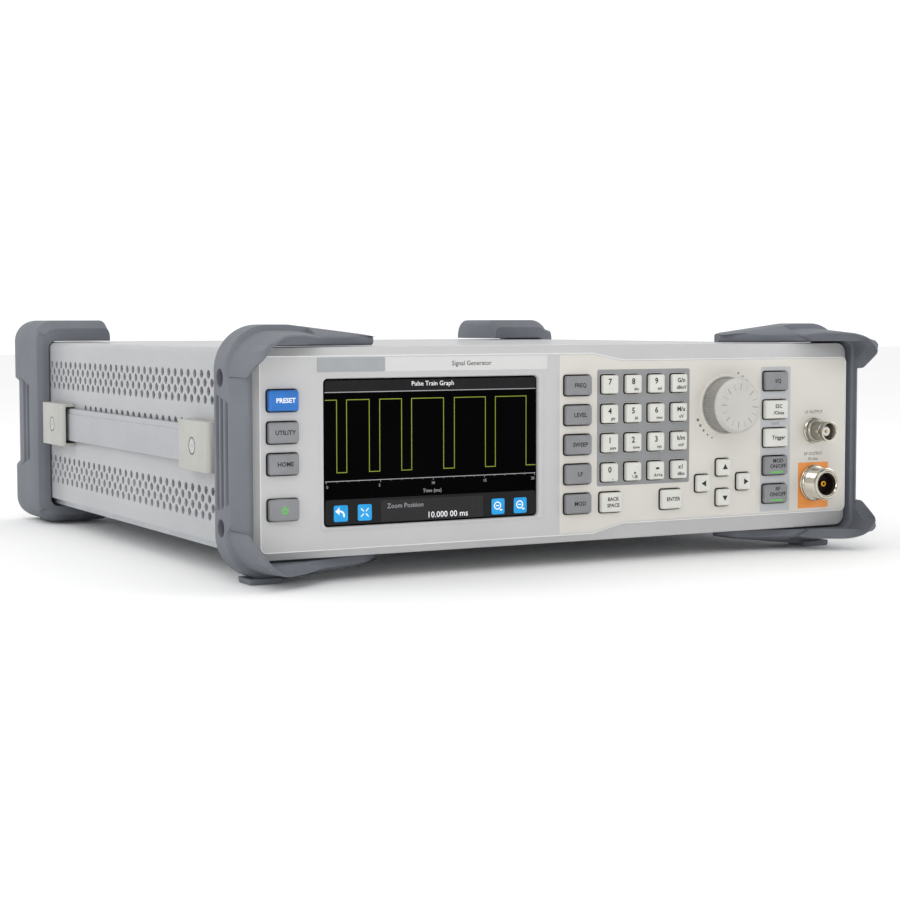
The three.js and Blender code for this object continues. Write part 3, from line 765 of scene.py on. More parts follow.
@dataclass
class Cover:
    """One sheet folded over both sides and the top, with vents punched in its sides."""

    sheet: float = 1.2
    corner: float = 3.0
    fold_steps: int = 6
    vent_radius: float = 2.05
    vent_pitch: float = 8.66
    vent_first: float = 36.9
    vent_columns: int = 31
    upper_rows: tuple[float, ...] = (75.2, 71.35, 67.5, 63.65)
    lower_rows: tuple[float, ...] = (22.5, 18.65, 14.8, 10.95)
    strap_row: float = 52.4
    strap_columns: tuple[int, int] = (5, 24)
    shade_sheet_at: float = 3.2  # dark sheet of painted shade behind the vents

    def along(self, s: np.ndarray) -> tuple[np.ndarray, np.ndarray]:
        """The fold: a length s up the left side, round the corner, across and down again.

        On a flat run the point moves straight on; on a corner it turns by s over the corner's radius.

        Args:
            s: lengths from the left lower edge.
        Returns:
            Points (x, z) of the outside and the outward normals.
        """
        side, arc = CASE_HEIGHT - self.corner, self.corner * np.pi / 2
        across = CASE_WIDTH - 2 * self.corner
        total = 2 * (side + arc) + across
        half = np.minimum(s, total - s)
        angle = np.clip((half - side) / self.corner, 0, np.pi / 2)
        normal = np.column_stack([-np.cos(angle), np.sin(angle)])
        x = self.corner * (1 + normal[:, 0]) + np.clip(half - side - arc, 0, None)
        z = np.minimum(half, side) + self.corner * normal[:, 1]
        right = s > total / 2
        return (np.column_stack([np.where(right, CASE_WIDTH - x, x), z]),
                normal * np.where(right, -1, 1)[:, None] ** (1, 0))

    def vents(self) -> list[tuple[float, float]]:
        """Centres (y, height up the side) of one side's vents: staggered rows above and below the handle.

        Returns:
            Centres in mm.
        """
        spots = []
        for rows in (self.upper_rows, self.lower_rows):
            for i, row in enumerate(rows):
                shift = (i % 2 if rows is self.upper_rows else (i + 1) % 2) * self.vent_pitch / 2
                spots += [(self.vent_first + shift + k * self.vent_pitch, row)
                          for k in range(self.vent_columns)]
        first, last = self.strap_columns
        return spots + [(self.vent_first + k * self.vent_pitch, self.strap_row) for k in range(first, last)]

    def build(self) -> None:
        """Triangulates the unfolded sheet round its vents, then folds both of its faces."""
        side, arc = CASE_HEIGHT - self.corner, self.corner * np.pi / 2
        total = 2 * (side + arc) + CASE_WIDTH - 2 * self.corner
        fold = side + np.linspace(0, arc, self.fold_steps + 1)
        creases = np.concatenate([fold, total - fold[::-1]])
        edge = np.concatenate([[0], creases, [total]])
        outline = np.vstack([np.column_stack([np.full(len(edge), COVER_FRONT), edge]),
                             np.column_stack([np.full(len(edge), COVER_END), edge])[::-1]])
        lines = [(k, 2 * len(edge) - 1 - k) for k in range(1, len(edge) - 1)]
        spots = self.vents()
        holes = [disc(y, s, self.vent_radius, 10) for y, z in spots for s in (z, total - z)]
        loops = [outline[::-1], *holes]
        lines = [(len(outline) - 1 - a, len(outline) - 1 - b) for a, b in lines]
        triangles = triangulated(loops, lines)
        flat = np.vstack(loops)
        outside, normal = self.along(flat[:, 1])
        skins = [outside - normal * depth for depth in (0, self.sheet)]
        points = np.vstack([np.column_stack([skin[:, 0], flat[:, 0], skin[:, 1]]) for skin in skins])
        walls, start, n = [], 0, len(flat)
        for loop in loops:
            here = start + np.arange(len(loop))
            ahead = np.roll(here, -1)
            wall = np.column_stack([ahead, here, here + n, ahead + n])
            walls.append(wall if loop is loops[0] else wall[:, ::-1])
            start += len(loop)
        # the sheet's inner face, block 1, is painted shade
        shape = Shape().add((points, [triangles, triangles[:, ::-1] + n, *walls]), within={1: 1})
        # dark sheets of painted shade just inside each side, behind the vents
        shade_sheet = rectangle(COVER_FRONT + 4, COVER_END - 6, self.lower_rows[-1] - 4, self.upper_rows[0] + 4)
        for facing, at in ((Facing.LEFT, self.shade_sheet_at), (Facing.RIGHT, CASE_WIDTH - self.shade_sheet_at)):
            shape.add(plate(shade_sheet, facing, at, [(0, 0), (0, 0.8)]), 2)
        build("cover_skin", shape, [COVER_PAINT, COVER_INSIDE_SHADE, VENT_SHADE_SHEET],
              replaces=["outer_cover"], crease=25)


# ---- keys ---------------------------------------------------------------------------------------


class KeyKind(Enum):
    """The three colours that keys come in, with the ink of their legends."""

    GREY = (GREY_KEY, DARK_INK, "grey_key")
    WHITE = (WHITE_KEY, DARK_INK, "white_key")
    BLUE = (BLUE_KEY, WHITE_INK, "blue_key")


@dataclass
class Key:
    """One silicone key: a crowned cap, the flange that keeps it in, and its plunger."""

    name: str
    kind: KeyKind
    legends: tuple[tuple[str, float, float, float], ...] = ()  # text, capital height, x and z from the middle
    lamp: bool = False
    bow: float = 0.0  # how far the long edges bulge
    arrow: float | None = None  # direction in degrees
    power: bool = False

    proud = 2.5
    flange = 1.0
    flange_at = 3.4
    radius = 1.0

    @property
    def box(self) -> Box:
        """Box of the visible cap.

        Returns:
            The node's box without its flange.
        """
        whole = node_box(f"key_{self.name}")
        inset = np.array([self.flange, 0, self.flange])
        return Box(whole.low + inset, whole.high - inset)

    def ring(self, inset: float, depth: float) -> np.ndarray:
        """Ring round the cap, drawn in, with its long edges bowed as a parabola.

        Args:
            inset: how far it is drawn in, in mm.
            depth: depth behind the panel's face.
        Returns:
            Points round the cap.
        """
        low, high = self.box.low, self.box.high
        radius = max(self.radius - inset, 0.3)
        steps = np.linspace(low[0] + inset, high[0] - inset, 9)
        under = [(u, low[2] + inset, radius * (k % 8 == 0)) for k, u in enumerate(steps)]
        over = [(u, high[2] - inset, radius * (k % 8 == 0)) for k, u in enumerate(steps[::-1])]
        loop = rounded(under + over, 4)
        across = 1 - ((loop[:, 0] - self.box.middle[0]) / self.box.size[0] * 2) ** 2
        loop[:, 1] += self.bow * across * np.sign(loop[:, 1] - self.box.middle[2])
        return Facing.FRONT.lift(loop, depth, 0)

    def cap(self) -> Solid:
        """Cap as rings from the flange to the crown, each drawn in a little more.

        Returns:
            Points and faces.
        """
        steps = [(0, self.flange_at), (0, -0.5), (0, -self.proud + 0.9), (0.1, -self.proud + 0.4),
                 (0.35, -self.proud + 0.12), (0.75, -self.proud), (1.6, -self.proud - 0.02)]
        points, (skin, *ends) = tube(np.array([self.ring(inset, depth) for inset, depth in steps]))
        count = len(points) // len(steps)
        # the skin's first band, from the flange to just in front of the panel, is its own block so that it
        # can carry painted shade
        return points, [skin[:count], skin[count:], *ends]

    def power_mark(self) -> list[Solid]:
        """Power symbol: three quarters of a ring open at the top, and a bar in the gap.

        Returns:
            The ring and the bar.
        """
        x, _, z = self.box.middle
        turn = np.radians(np.linspace(125, 415, 26))
        across = np.array([1.05, 1.5, 1.5, 1.05])
        deep = np.array([-0.05, -0.05, 0.1, 0.1])
        rings = np.stack([x + across * np.cos(turn)[:, None], 0 * turn[:, None] + deep - self.proud,
                          z - 0.2 + across * np.sin(turn)[:, None]], -1)
        bar = plate(rectangle(x - 0.22, x + 0.22, z - 0.1, z + 1.9, 0.15), Facing.FRONT, -self.proud,
                    [(0, -0.05), (0, 0.1)])
        return [tube(rings), bar]

    def build(self) -> None:
        """Joins the cap, its flange and plunger and its legends."""
        x, _, z = self.box.middle
        # the cap's lowest band of wall and the flange are painted shade, finish 3, for the dark gap round the
        # key
        shape = Shape().add(self.cap(), within={0: 3})
        shape.add(plate(around(self.box, self.flange, 0.6), Facing.FRONT, self.flange_at, [(0, 0), (0, 1)]),
                  3)
        shape.add(plate(rectangle(x - 1.5, x + 1.5, z - 1.5, z + 1.5, 0.3), Facing.FRONT, self.flange_at,
                        [(0, 0.2), (0, 2.6)]))
        for text, height, dx, dz in self.legends:
            shape.add(Lettering.solid(text, height, (x + dx, z + dz), -self.proud, weight=0.026), 1)
        if self.arrow is not None:
            turn = np.radians(self.arrow + np.array([0, 120, 240]))
            triangle = np.column_stack([x + 0.3 + 1.75 * np.cos(turn), z + 1.75 * np.sin(turn)])
            shape.add(plate(triangle, Facing.FRONT, -self.proud, [(0, -0.05), (0, 0.1)]), 1)
        if self.lamp:
            low = self.box.low[2]
            bar = rectangle(x - 3.6, x + 4.0, low + 0.95, low + 1.5, 0.2)
            shape.add(plate(bar, Facing.FRONT, -self.proud, [(0.1, -0.1), (0, -0.03), (0, 0.2)]), 2)
        if self.power:
            for part in self.power_mark():
                shape.add(part, 2)
        finish, ink, slot = self.kind.value
        node = f"key_{self.name}"
        build(f"{node}_cap", shape, [finish, ink, GREEN_LAMP, KEY_GAP_SHADE], node, [node], crease=40)


def word(text: str, height: float = 1.9, dx: float = 0.8, dz: float = 0) -> tuple[str, float, float, float]:
    """One legend."""
    return text, height, dx, dz


def keypad() -> list[Key]:
    """All the keys with their legends.

    Returns:
        Every key of the front panel.
    """
    wide = [("utility", "UTILITY"), ("home", "HOME"), ("freq", "FREQ"), ("level", "LEVEL"),
            ("sweep", "SWEEP"), ("lf", "LF"), ("mod", "MOD"), ("iq", "I/Q")]
    digits = {"7": "", "8": "abc", "9": "def", "4": "ghi", "5": "jkl", "6": "mno", "1": "pqrs", "2": "tuvw",
              "3": "xyz", "0": "_"}
    units = {"giga": ("G/n", "dBmV"), "mega": ("M/u", "uV"), "kilo": ("k/m", "mV"), "unit": ("x1", "dBm")}
    keys = [Key("preset", KeyKind.BLUE, (word("PRESET", 2.0),)),
            Key("power", KeyKind.GREY, bow=0.3, power=True)]
    keys += [Key(name, KeyKind.GREY, (word(text, dx=0.5),)) for name, text in wide]
    keys += [Key(name, KeyKind.WHITE, (word(name, 2.7, -0.6, 1.2),
                                       *([word(small, 1.35, 1.1, -2.3)] if small else [])))
             for name, small in digits.items()]
    keys += [Key(name, KeyKind.WHITE, (word(big, 2.1, 0.5, 1.4), word(small, 1.6, 0.6, -2.0)))
             for name, (big, small) in units.items()]
    keys += [Key("point", KeyKind.WHITE, (word(".", 4.5, 0.4, 1.0), word("?_@", 1.2, 0.4, -2.3))),
             Key("sign", KeyKind.WHITE, (word("-", 4.5, 0.2, 1.6), word("A<>a", 1.5, 0.6, -2.2))),
             Key("backspace", KeyKind.WHITE, (word("BACK", 1.7, 0.6, 1.5), word("SPACE", 1.7, 0.6, -1.5))),
             Key("enter", KeyKind.WHITE, (word("ENTER", 1.8, 0.6, 0),)),
             Key("escape", KeyKind.WHITE, (word("ESC", 1.8, 1.0, 1.5), word("/Close", 1.7, 1.0, -1.7))),
             Key("trigger", KeyKind.WHITE, (word("Trigger", 1.9, 1.0, 0),))]
    keys += [Key(f"{name.lower()}_output", KeyKind.GREY,
                 (word(name, 1.9, 0.8, 2.3), word("ON/OFF", 1.9, 0.8, -0.4)), lamp=True)
             for name in ("MOD", "RF")]
    arrows = {"up": 90, "left": 180, "right": 0, "down": 270}
    return keys + [Key(name, KeyKind.WHITE, arrow=turn) for name, turn in arrows.items()]


# ---- front panel --------------------------------------------------------------------------------


@dataclass
class FrontPanel:
    """The moulded panel, its warmer insert, printed zones and texts."""

    keys: list[Key]
    knob: tuple[float, float] = (246.0, 58.0)
    bnc: tuple[float, float] = (300.3, 44.2)
    n_jack: tuple[float, float] = (300.5, 18.0)
    wall: float = 3.0
    depth: float = 26.0
    clearance: float = 0.5
    step: tuple[float, float] = (170.3, 187.1)  # the face's outline slopes in between these
    left_height: tuple[float, float] = (-0.8, 84.1)
    right_height: tuple[float, float] = (3.2, 80.8)
    insert_left: float = 152.0
    insert_proud: float = 0.2
    knob_ring: float = 13.7

    def outline(self, low: tuple[float, float], high: tuple[float, float], x0: float, x1: float,
                radius: float) -> np.ndarray:
        """Face outline: two heights joined by slopes above and below, with rounded corners.

        Args:
            low: z of the lower edge, left and right.
            high: z of the upper edge, left and right.
            x0: x of the left edge.
            x1: x of the right edge.
            radius: radius of the corners.
        Returns:
            Outline in x and z.
        """
        a, b = self.step
        return rounded([(x0, low[0], radius), (a, low[0], 6), (b, low[1], 6), (x1, low[1], radius),
                        (x1, high[1], radius), (b, high[1], 6), (a, high[0], 6), (x0, high[0], radius)], 6)

    def holes(self, grow: float = 0, left: float = 0) -> list[np.ndarray]:
        """Outlines of the key, knob and connector holes right of a line.

        Args:
            grow: how much wider than the openings.
            left: x that the holes lie right of.
        Returns:
            One outline for each hole.
        """
        loops = [around(key.box, self.clearance + grow, 1.35 + grow)
                 for key in self.keys if key.box.low[0] > left]
        rounds = [(self.knob, 3.5), (self.bnc, 5.3), (self.n_jack, 6.5)]
        return loops + [disc(*centre, radius + grow, 28) for centre, radius in rounds]

    def screen_hole(self, grow: float) -> np.ndarray:
        """Outline of the display's opening."""
        return around(node_box("display_window"), 0.3 + grow, 2.0 + grow, 5)

    def shell(self) -> Solid:
        """Face, slope, skirt and inside as one closed skin with its holes.

        Returns:
            Points and faces.
        """
        low, high = BEZEL.low[2], BEZEL.high[2]
        lows, highs = self.left_height, self.right_height
        face = lambda grow: offset(self.outline((lows[0], highs[0]), (lows[1], highs[1]), 2.2, 320.9, 3),
                                   grow)
        edge = lambda inset: self.outline((low + inset,) * 2, (high - inset,) * 2, inset, CASE_WIDTH - inset,
                                          max(5.5 - inset, 1))
        layers = [(face(-0.5), 0), (face(-0.15), 0.08), (face(0.1), 0.35), (edge(0.9), 2.6),
                  (edge(0.25), 3.0), (edge(0), 3.7), (edge(0), self.depth - 0.3), (edge(0.3), self.depth),
                  (edge(self.wall), self.depth), (edge(self.wall), self.wall)]
        rim = [(0.45, 0), (0.12, 0.1), (0, 0.4), (0, self.wall)]
        holes = [[(offset(hole, back), depth) for back, depth in rim]
                 for hole in [*self.holes(), self.screen_hole(0)]]
        return stacked(layers, holes, [], lambda uv, depth: Facing.FRONT.lift(uv, depth, 0))

    def frame(self) -> Solid:
        """Low frame round the display, sloping down to the face.

        Returns:
            Points and faces.
        """
        opening = around(node_box("display_window"), 2.6, 3.0, 5)
        right = opening[:, 0] > node_box("display_window").middle[0]
        outer = opening + np.column_stack([np.where(right, 1.6, 0), 0 * right])
        return plate(outer, Facing.FRONT, 0, [(1.6, -0.55), (1.3, -0.5), (0, 0.2)], [self.screen_hole(0.2)],
                     [(0.5, -0.55), (0.12, -0.42), (0, -0.1), (0, 0.2)])

    def insert(self) -> Solid:
        """Warm grey insert a little in front of the face.

        Returns:
            Points and faces.
        """
        (low, low_right), (high, high_right) = ((self.left_height[0], self.right_height[0]),
                                                (self.left_height[1], self.right_height[1]))
        a, b = self.step
        loop = rounded([(self.insert_left, low + 0.8, 0.6), (a, low + 0.8, 6), (b, low_right + 0.8, 6),
                        (320.2, low_right + 0.8, 2.4), (320.2, high_right - 0.8, 2.4),
                        (b, high_right - 0.8, 6), (a, high - 0.8, 6), (self.insert_left, high - 0.8, 0.6)], 5)
        rim = [(0.35, -self.insert_proud), (0.1, -self.insert_proud + 0.06), (0, 0), (0, 0.15)]
        return plate(loop, Facing.FRONT, 0, rim, self.holes(0.05, self.insert_left),
                     [(0.45, -self.insert_proud), (0.12, -self.insert_proud + 0.08), (0, 0.1), (0, 0.15)])

    def film(self, x0: float, x1: float, z0: float, z1: float, radius: float, thick: float,
             at: float) -> Solid:
        """Printed film over a part of the face, cut out round the keys in it.

        Args:
            x0: x of its left edge.
            x1: x of its right edge.
            z0: z of its lower edge.
            z1: z of its upper edge.
            radius: radius of its corners.
            thick: thickness in mm.
            at: y of the surface under it.
        Returns:
            Points and faces.
        """
        inside = [around(key.box, 0.85, 1.8) for key in self.keys
                  if x0 < key.box.middle[0] < x1 and z0 < key.box.middle[2] < z1]
        return plate(rectangle(x0, x1, z0, z1, radius), Facing.FRONT, at, [(0.05, -thick), (0, 0.02)], inside)

    def texts(self) -> list[tuple[Solid, int]]:
        """Printed words, dots and arcs with the number of their ink.

        Returns:
            Solids, each with its ink.
        """
        at = -self.insert_proud
        words = [("LF OUTPUT", 1.5, 300.6, 53.4), ("RF OUTPUT", 1.5, 300.4, 32.5),
                 ("50 ohm", 1.4, 300.4, 30.0)]
        marks = [(Lettering.solid(text, height, (x, z), at, weight=0.012), 1) for text, height, x, z in words]
        marks.append((Lettering.solid("Local", 1.5, (276.5, 48.4), at - 0.06), 1))
        marks.append((Lettering.solid("Signal Generator", 2.1, (105.5, 80.0), -0.14), 0))
        for first, last, sizes in ((203, 244, (0.75, 0.7, 0.62, 0.52, 0.42)),
                                   (63, 33, (0.5, 0.45, 0.38, 0.3))):
            turns = np.radians(np.linspace(first, last, len(sizes)))
            for turn, size in zip(turns, sizes):
                spot = disc(self.knob[0] + 17.4 * math.cos(turn), self.knob[1] + 17.4 * math.sin(turn), size,
                            14)
                marks.append((plate(spot, Facing.FRONT, at, [(0, -0.04), (0, 0.1)]), 1))
        return marks

    def build(self) -> None:
        """Makes the shell and everything printed on it."""
        ring = turned([(self.knob_ring, 0.4), (self.knob_ring, -0.75), (self.knob_ring + 0.35, -RING_PROUD),
                       (self.knob_ring + 0.8, -RING_PROUD), (self.knob_ring + 1.3, -0.6),
                       (self.knob_ring + 1.4, 0.4)],
                      self.knob, Facing.FRONT, 0, 96, looped=True)
        (low, low_right), (high, high_right) = zip(self.left_height, self.right_height)
        edge = self.outline((low, low_right), (high, high_right), 2.2, 320.9, 3)
        # raised bead along the face's outline, in a lighter colour that paints a highlight line
        bead = plate(offset(edge, 0.05), Facing.FRONT, 0, [(0.08, -0.1), (0, 0), (0, 0.3)],
                     [offset(edge, -0.4)])
        shell = Shape().add(self.shell()).add(self.frame()).add(bead, 1)
        build("panel_shell", shell, [PANEL_ABS, HIGHLIGHT_BEAD_ABS], replaces=["front_bezel"])
        build("panel_insert", Shape().add(self.insert()).add(ring), [INSERT_ABS])
        at = -self.insert_proud
        zones = Shape().add(self.film(172.4, 225.0, 21.4, 76.2, 1.0, 0.06, at))
        zones.add(self.film(267.5, 285.8, 4.9, 76.4, 0.8, 0.05, at), 1)
        orange = rectangle(291, 310, 5.4, 28.3, 0.4)
        zones.add(plate(orange, Facing.FRONT, at, [(0.03, -0.05), (0, 0.02)], [disc(*self.n_jack, 6.8, 28)]),
                  2)
        zones.add(self.film(29.2, 145.3, 76.9, 83.2, 0.5, 0.12, 0), 3)
        zones.add(self.film(29.2, 62.0, 76.9, 83.2, 0.5, 0.18, 0), 4)
        build("panel_films", zones, [ZONE_INK, STRIP_INK, ORANGE_INK, LABEL_FILM, LABEL_SILVER])
        prints = Shape()
        for solid, ink in self.texts():
            prints.add(solid, ink)
        build("panel_prints", prints, [DARK_INK, GREY_INK])


# ---- display ------------------------------------------------------------------------------------


@dataclass
class Display:
    """Window of the display and the picture that shows on it."""

    header: float = 68.0  # lower edge of the title bar
    axis: float = 29.1
    footer: float = 21.0
    trace_high: float = 64.5
    trace_low: float = 32.7
    line: float = 0.34
    edges: tuple[float, ...] = (38.4, 43.2, 54.2, 59.3, 70.1, 75.1, 91.2, 96.7, 112.7, 117.9, 134.1)

    def patch(self, x0: float, x1: float, z0: float, z1: float, lift: float, radius: float = 0) -> Solid:
        """Thin element of the picture, in front of the window's face by lift."""
        at = node_box("display_window").low[1]
        return plate(rectangle(x0, x1, z0, z1, radius, 3), Facing.FRONT, at, [(0, -lift), (0, 0.05)])

    def trace(self) -> list[Solid]:
        """Pulse train: uprights at the edges, joined high and low in turn.

        Returns:
            One solid for each stroke.
        """
        box = node_box("display_window")
        turns = (box.low[0] + 0.6, *self.edges, box.high[0] - 0.8)
        parts = []
        for k, (x0, x1) in enumerate(zip(turns[:-1], turns[1:])):
            level = self.trace_high if k % 2 == 0 else self.trace_low
            parts.append(self.patch(x0, x1 + self.line, level, level + self.line, 0.05))
            if k:
                parts.append(self.patch(x0, x0 + self.line, self.trace_low, self.trace_high + self.line,
                                        0.06))
        return parts

    def icon(self, x: float, z: float, arms: int) -> list[tuple[Solid, int]]:
        """Blue square key of the picture with a white mark: arms of a cross, or a ring with a bar.

        Args:
            x: x of the middle.
            z: z of the middle.
            arms: how many arms of the mark, 0 for a lens.
        Returns:
            Solids, each with its ink.
        """
        parts = [(self.patch(x - 3.4, x + 3.4, z - 3.6, z + 3.6, 0.05, 0.8), 0)]
        at = node_box("display_window").low[1]
        if arms:
            for turn in np.radians(45 + 360 / arms * np.arange(arms)):
                along, across = (np.array([math.cos(turn), math.sin(turn)]),
                                 np.array([-math.sin(turn), math.cos(turn)]))
                bar = np.array([x, z]) + np.array([0.7 * along + 0.22 * across, 0.7 * along - 0.22 * across,
                                                   2.6 * along - 0.22 * across, 2.6 * along + 0.22 * across])
                parts.append((plate(bar, Facing.FRONT, at, [(0, -0.08), (0, 0.02)]), 1))
            return parts
        ring = turned([(1.4, 0.02), (1.4, -0.08), (1.85, -0.08), (1.85, 0.02)], (x - 0.3, z + 0.4),
                      Facing.FRONT, at, 24, looped=True)
        return parts + [(ring, 1), (self.patch(x - 1.2, x + 0.6, z + 0.2, z + 0.6, 0.08), 1),
                        (self.patch(x + 0.9, x + 2.2, z - 1.9, z - 1.3, 0.08), 1)]

    def back_arrow(self, x: float, z: float) -> list[tuple[Solid, int]]:
        """Blue square with an arrow that turns back to the left.

        Args:
            x: x of the middle.
            z: z of the middle.
        Returns:
            Solids, each with its ink.
        """
        at = node_box("display_window").low[1]
        turn = np.radians(np.linspace(-20, 110, 12))
        across = np.array([1.5, 2.3, 2.3, 1.5])
        deep = np.array([-0.08, -0.08, 0.02, 0.02])
        rings = np.stack([x - 0.4 + across * np.cos(turn)[:, None], at + 0 * turn[:, None] + deep,
                          z - 0.9 + across * np.sin(turn)[:, None]], -1)
        head = np.array([[x - 2.7, z + 1.0], [x - 0.7, z - 0.6], [x - 0.7, z + 2.7]])
        return [(self.patch(x - 3.4, x + 3.4, z - 3.6, z + 3.6, 0.05, 0.8), 0), (tube(rings), 1),
                (plate(head, Facing.FRONT, at, [(0, -0.08), (0, 0.02)]), 1)]

    def build(self) -> None:
        """Makes the window and lays the picture on it."""
        box = node_box("display_window")
        x0, x1, z0, z1 = box.low[0], box.high[0], box.low[2], box.high[2]
        window = plate(around(box, 0, 1.7, 5), Facing.FRONT, box.low[1],
                       [(0.3, 0), (0, 0.25), (0, box.size[1])])
        build("window_pane", Shape().add(window), [WINDOW], replaces=["display_window"])
        face = Shape().add(self.patch(x0 + 0.5, x1 - 0.5, self.header, z1 - 0.5, 0.03, 1.2))
        face.add(self.patch(x0 + 0.5, x1 - 0.5, z0 + 0.5, self.footer, 0.03, 1.2))
        face.add(self.patch(60.0, 111.6, z0 + 0.7, 19.8, 0.04), 1)
        face.add(self.patch(x0 + 0.5, x1 - 0.5, self.header - 0.15, self.header + 0.2, 0.05), 2)
        face.add(self.patch(x0 + 0.5, x1 - 0.5, self.axis - 0.15, self.axis + 0.15, 0.05), 2)
        for k in range(21):
            x = x0 + 1 + k * (x1 - x0 - 2) / 20
            face.add(self.patch(x - 0.08, x + 0.08, self.axis - (1.1 if k % 5 == 0 else 0.6), self.axis,
                                0.05), 2)
        for part in self.trace():
            face.add(part, 3)
        at = box.low[1]
        lines = [("Pulse Train Graph", 2.05, 86.0, 71.2), ("10.000 00 ms", 2.7, 93.4, 12.2)]
        for text, height, x, z in lines:
            face.add(Lettering.solid(text, height, (x, z), at, 0.06, 0.02), 4)
        small = [("Zoom Position", 2.1, 72.1, 17.1), ("Time (ms)", 1.6, 85.6, 23.2), ("5", 1.3, 59.3, 26.6),
                 ("10", 1.3, 86.0, 26.6), ("15", 1.3, 112.6, 26.6), ("20", 1.3, 137.9, 26.6),
                 ("0", 1.3, 33.9, 26.6)]
        for text, height, x, z in small:
            face.add(Lettering.solid(text, height, (x, z), at, 0.06, 0.02), 2)
        build("picture", face, [BAR_PICTURE, BOX_PICTURE, LINE_PICTURE, TRACE_PICTURE, TEXT_PICTURE])
        icons = Shape()
        for solid, ink in [*self.back_arrow(40.4, 14.9), *self.icon(52.0, 14.9, 4),
                           *self.icon(119.5, 14.4, 0), *self.icon(131.2, 14.4, 0)]:
            icons.add(solid, ink)
        build("picture_icons", icons, [ICON_PICTURE, TEXT_PICTURE])


# ---- knob ---------------------------------------------------------------------------------------


@dataclass
class Knob:
    """Turning knob: fluted side, smooth chamfer, and a face with engraved ticks and a finger dimple."""

    flutes: int = 60
    flute_depth: float = 0.4
    ticks: int = 16
    tick_depth: float = 0.22
    dimple: tuple[float, float] = (9.6, math.radians(212))

    def relief(self, radius: np.ndarray, depth: np.ndarray,
               angle: np.ndarray) -> tuple[np.ndarray, np.ndarray]:
        """Flutes as a cosine round the side; ticks as narrow bell curves across the face's rim.

        The dimple is a bell curve of the distance from its centre.

        Args:
            radius: radius of each point, in mm.
            depth: how deep each point lies, in mm.
            angle: angle of each point round the axis, in radians.
        Returns:
            Changed radius and depth.
        """
        front = node_box("knob").low[1]
        side = (radius > 13.0) & (depth > front + 2.7) & (depth < -0.7)
        radius = radius - side * self.flute_depth * (0.5 - 0.5 * np.cos(self.flutes * angle))
        off = np.angle(np.exp(1j * self.ticks * (angle + math.radians(4)))) / self.ticks * radius
        band = np.clip((radius - 7.4) / 0.3, 0, 1) * np.clip((11.4 - radius) / 0.3, 0, 1)
        reach, turn = self.dimple
        away = np.hypot(radius * np.cos(angle) - reach * math.cos(turn),
                        radius * np.sin(angle) - reach * math.sin(turn))
        flat = depth < front + 0.5
        dip = self.tick_depth * band * np.exp(-(off / 0.28) ** 2) + 0.3 * np.exp(-(away / 0.5) ** 2)
        return radius, depth + flat * dip

    def build(self) -> None:
        """Makes the knob from its shaft's end to the middle of its face."""
        box = node_box("knob")
        front, radius, centre = box.low[1], box.size[0] / 2, (box.middle[0], box.middle[2])
        face = [(r, front + (0.1 if r > 11.7 else 0))
                for r in (11.8, 11.6, 11.4, 11.2, 10.6, 10.0, 9.4, 8.8, 8.2, 7.8, 7.5, 7.2, 6, 3, 0.4)]
        profile = [(3, box.high[1]), (3, -0.4), (12.4, -0.4), (12.6, -0.6), (12.6, front + 2.6),
                   (radius, front + 2.5), (radius, front + 2.2), (radius - 0.25, front + 1.6),
                   (radius - 0.75, front + 0.9), (radius - 1.3, front + 0.4), *face]
        shape = Shape().add(turned(profile, centre, Facing.FRONT, 0, 360, self.relief))
        sleeve = [(12.4, -0.65), (radius - 0.2, -0.65), *[(radius, y) for y in (-0.85, front + 2.75)],
                  (radius - 0.3, front + 2.55), (12.4, front + 2.55)]
        shape.add(turned(sleeve, centre, Facing.FRONT, 0, 480, self.relief, looped=True), 1)
        for k in range(self.ticks):
            turn = 2 * math.pi * k / self.ticks - math.radians(4)
            along, across = (np.array([math.cos(turn), math.sin(turn)]),
                             np.array([-math.sin(turn), math.cos(turn)]))
            bar = [centre + r * along + w * across
                   for r, w in ((7.7, 0.17), (7.7, -0.17), (11.2, -0.22), (11.2, 0.22))]
            shape.add(plate(np.array(bar), Facing.FRONT, front + self.tick_depth - 0.06, [(0, 0), (0, 0.2)]),
                      2 + k % 2)
        build("knob_turning", shape, [KNOB_ABS, KNOB_GRIP, KNOB_MARK, KNOB_PALE_MARK], "knob",
              ["knob"], crease=28)


# ---- connectors ---------------------------------------------------------------------------------


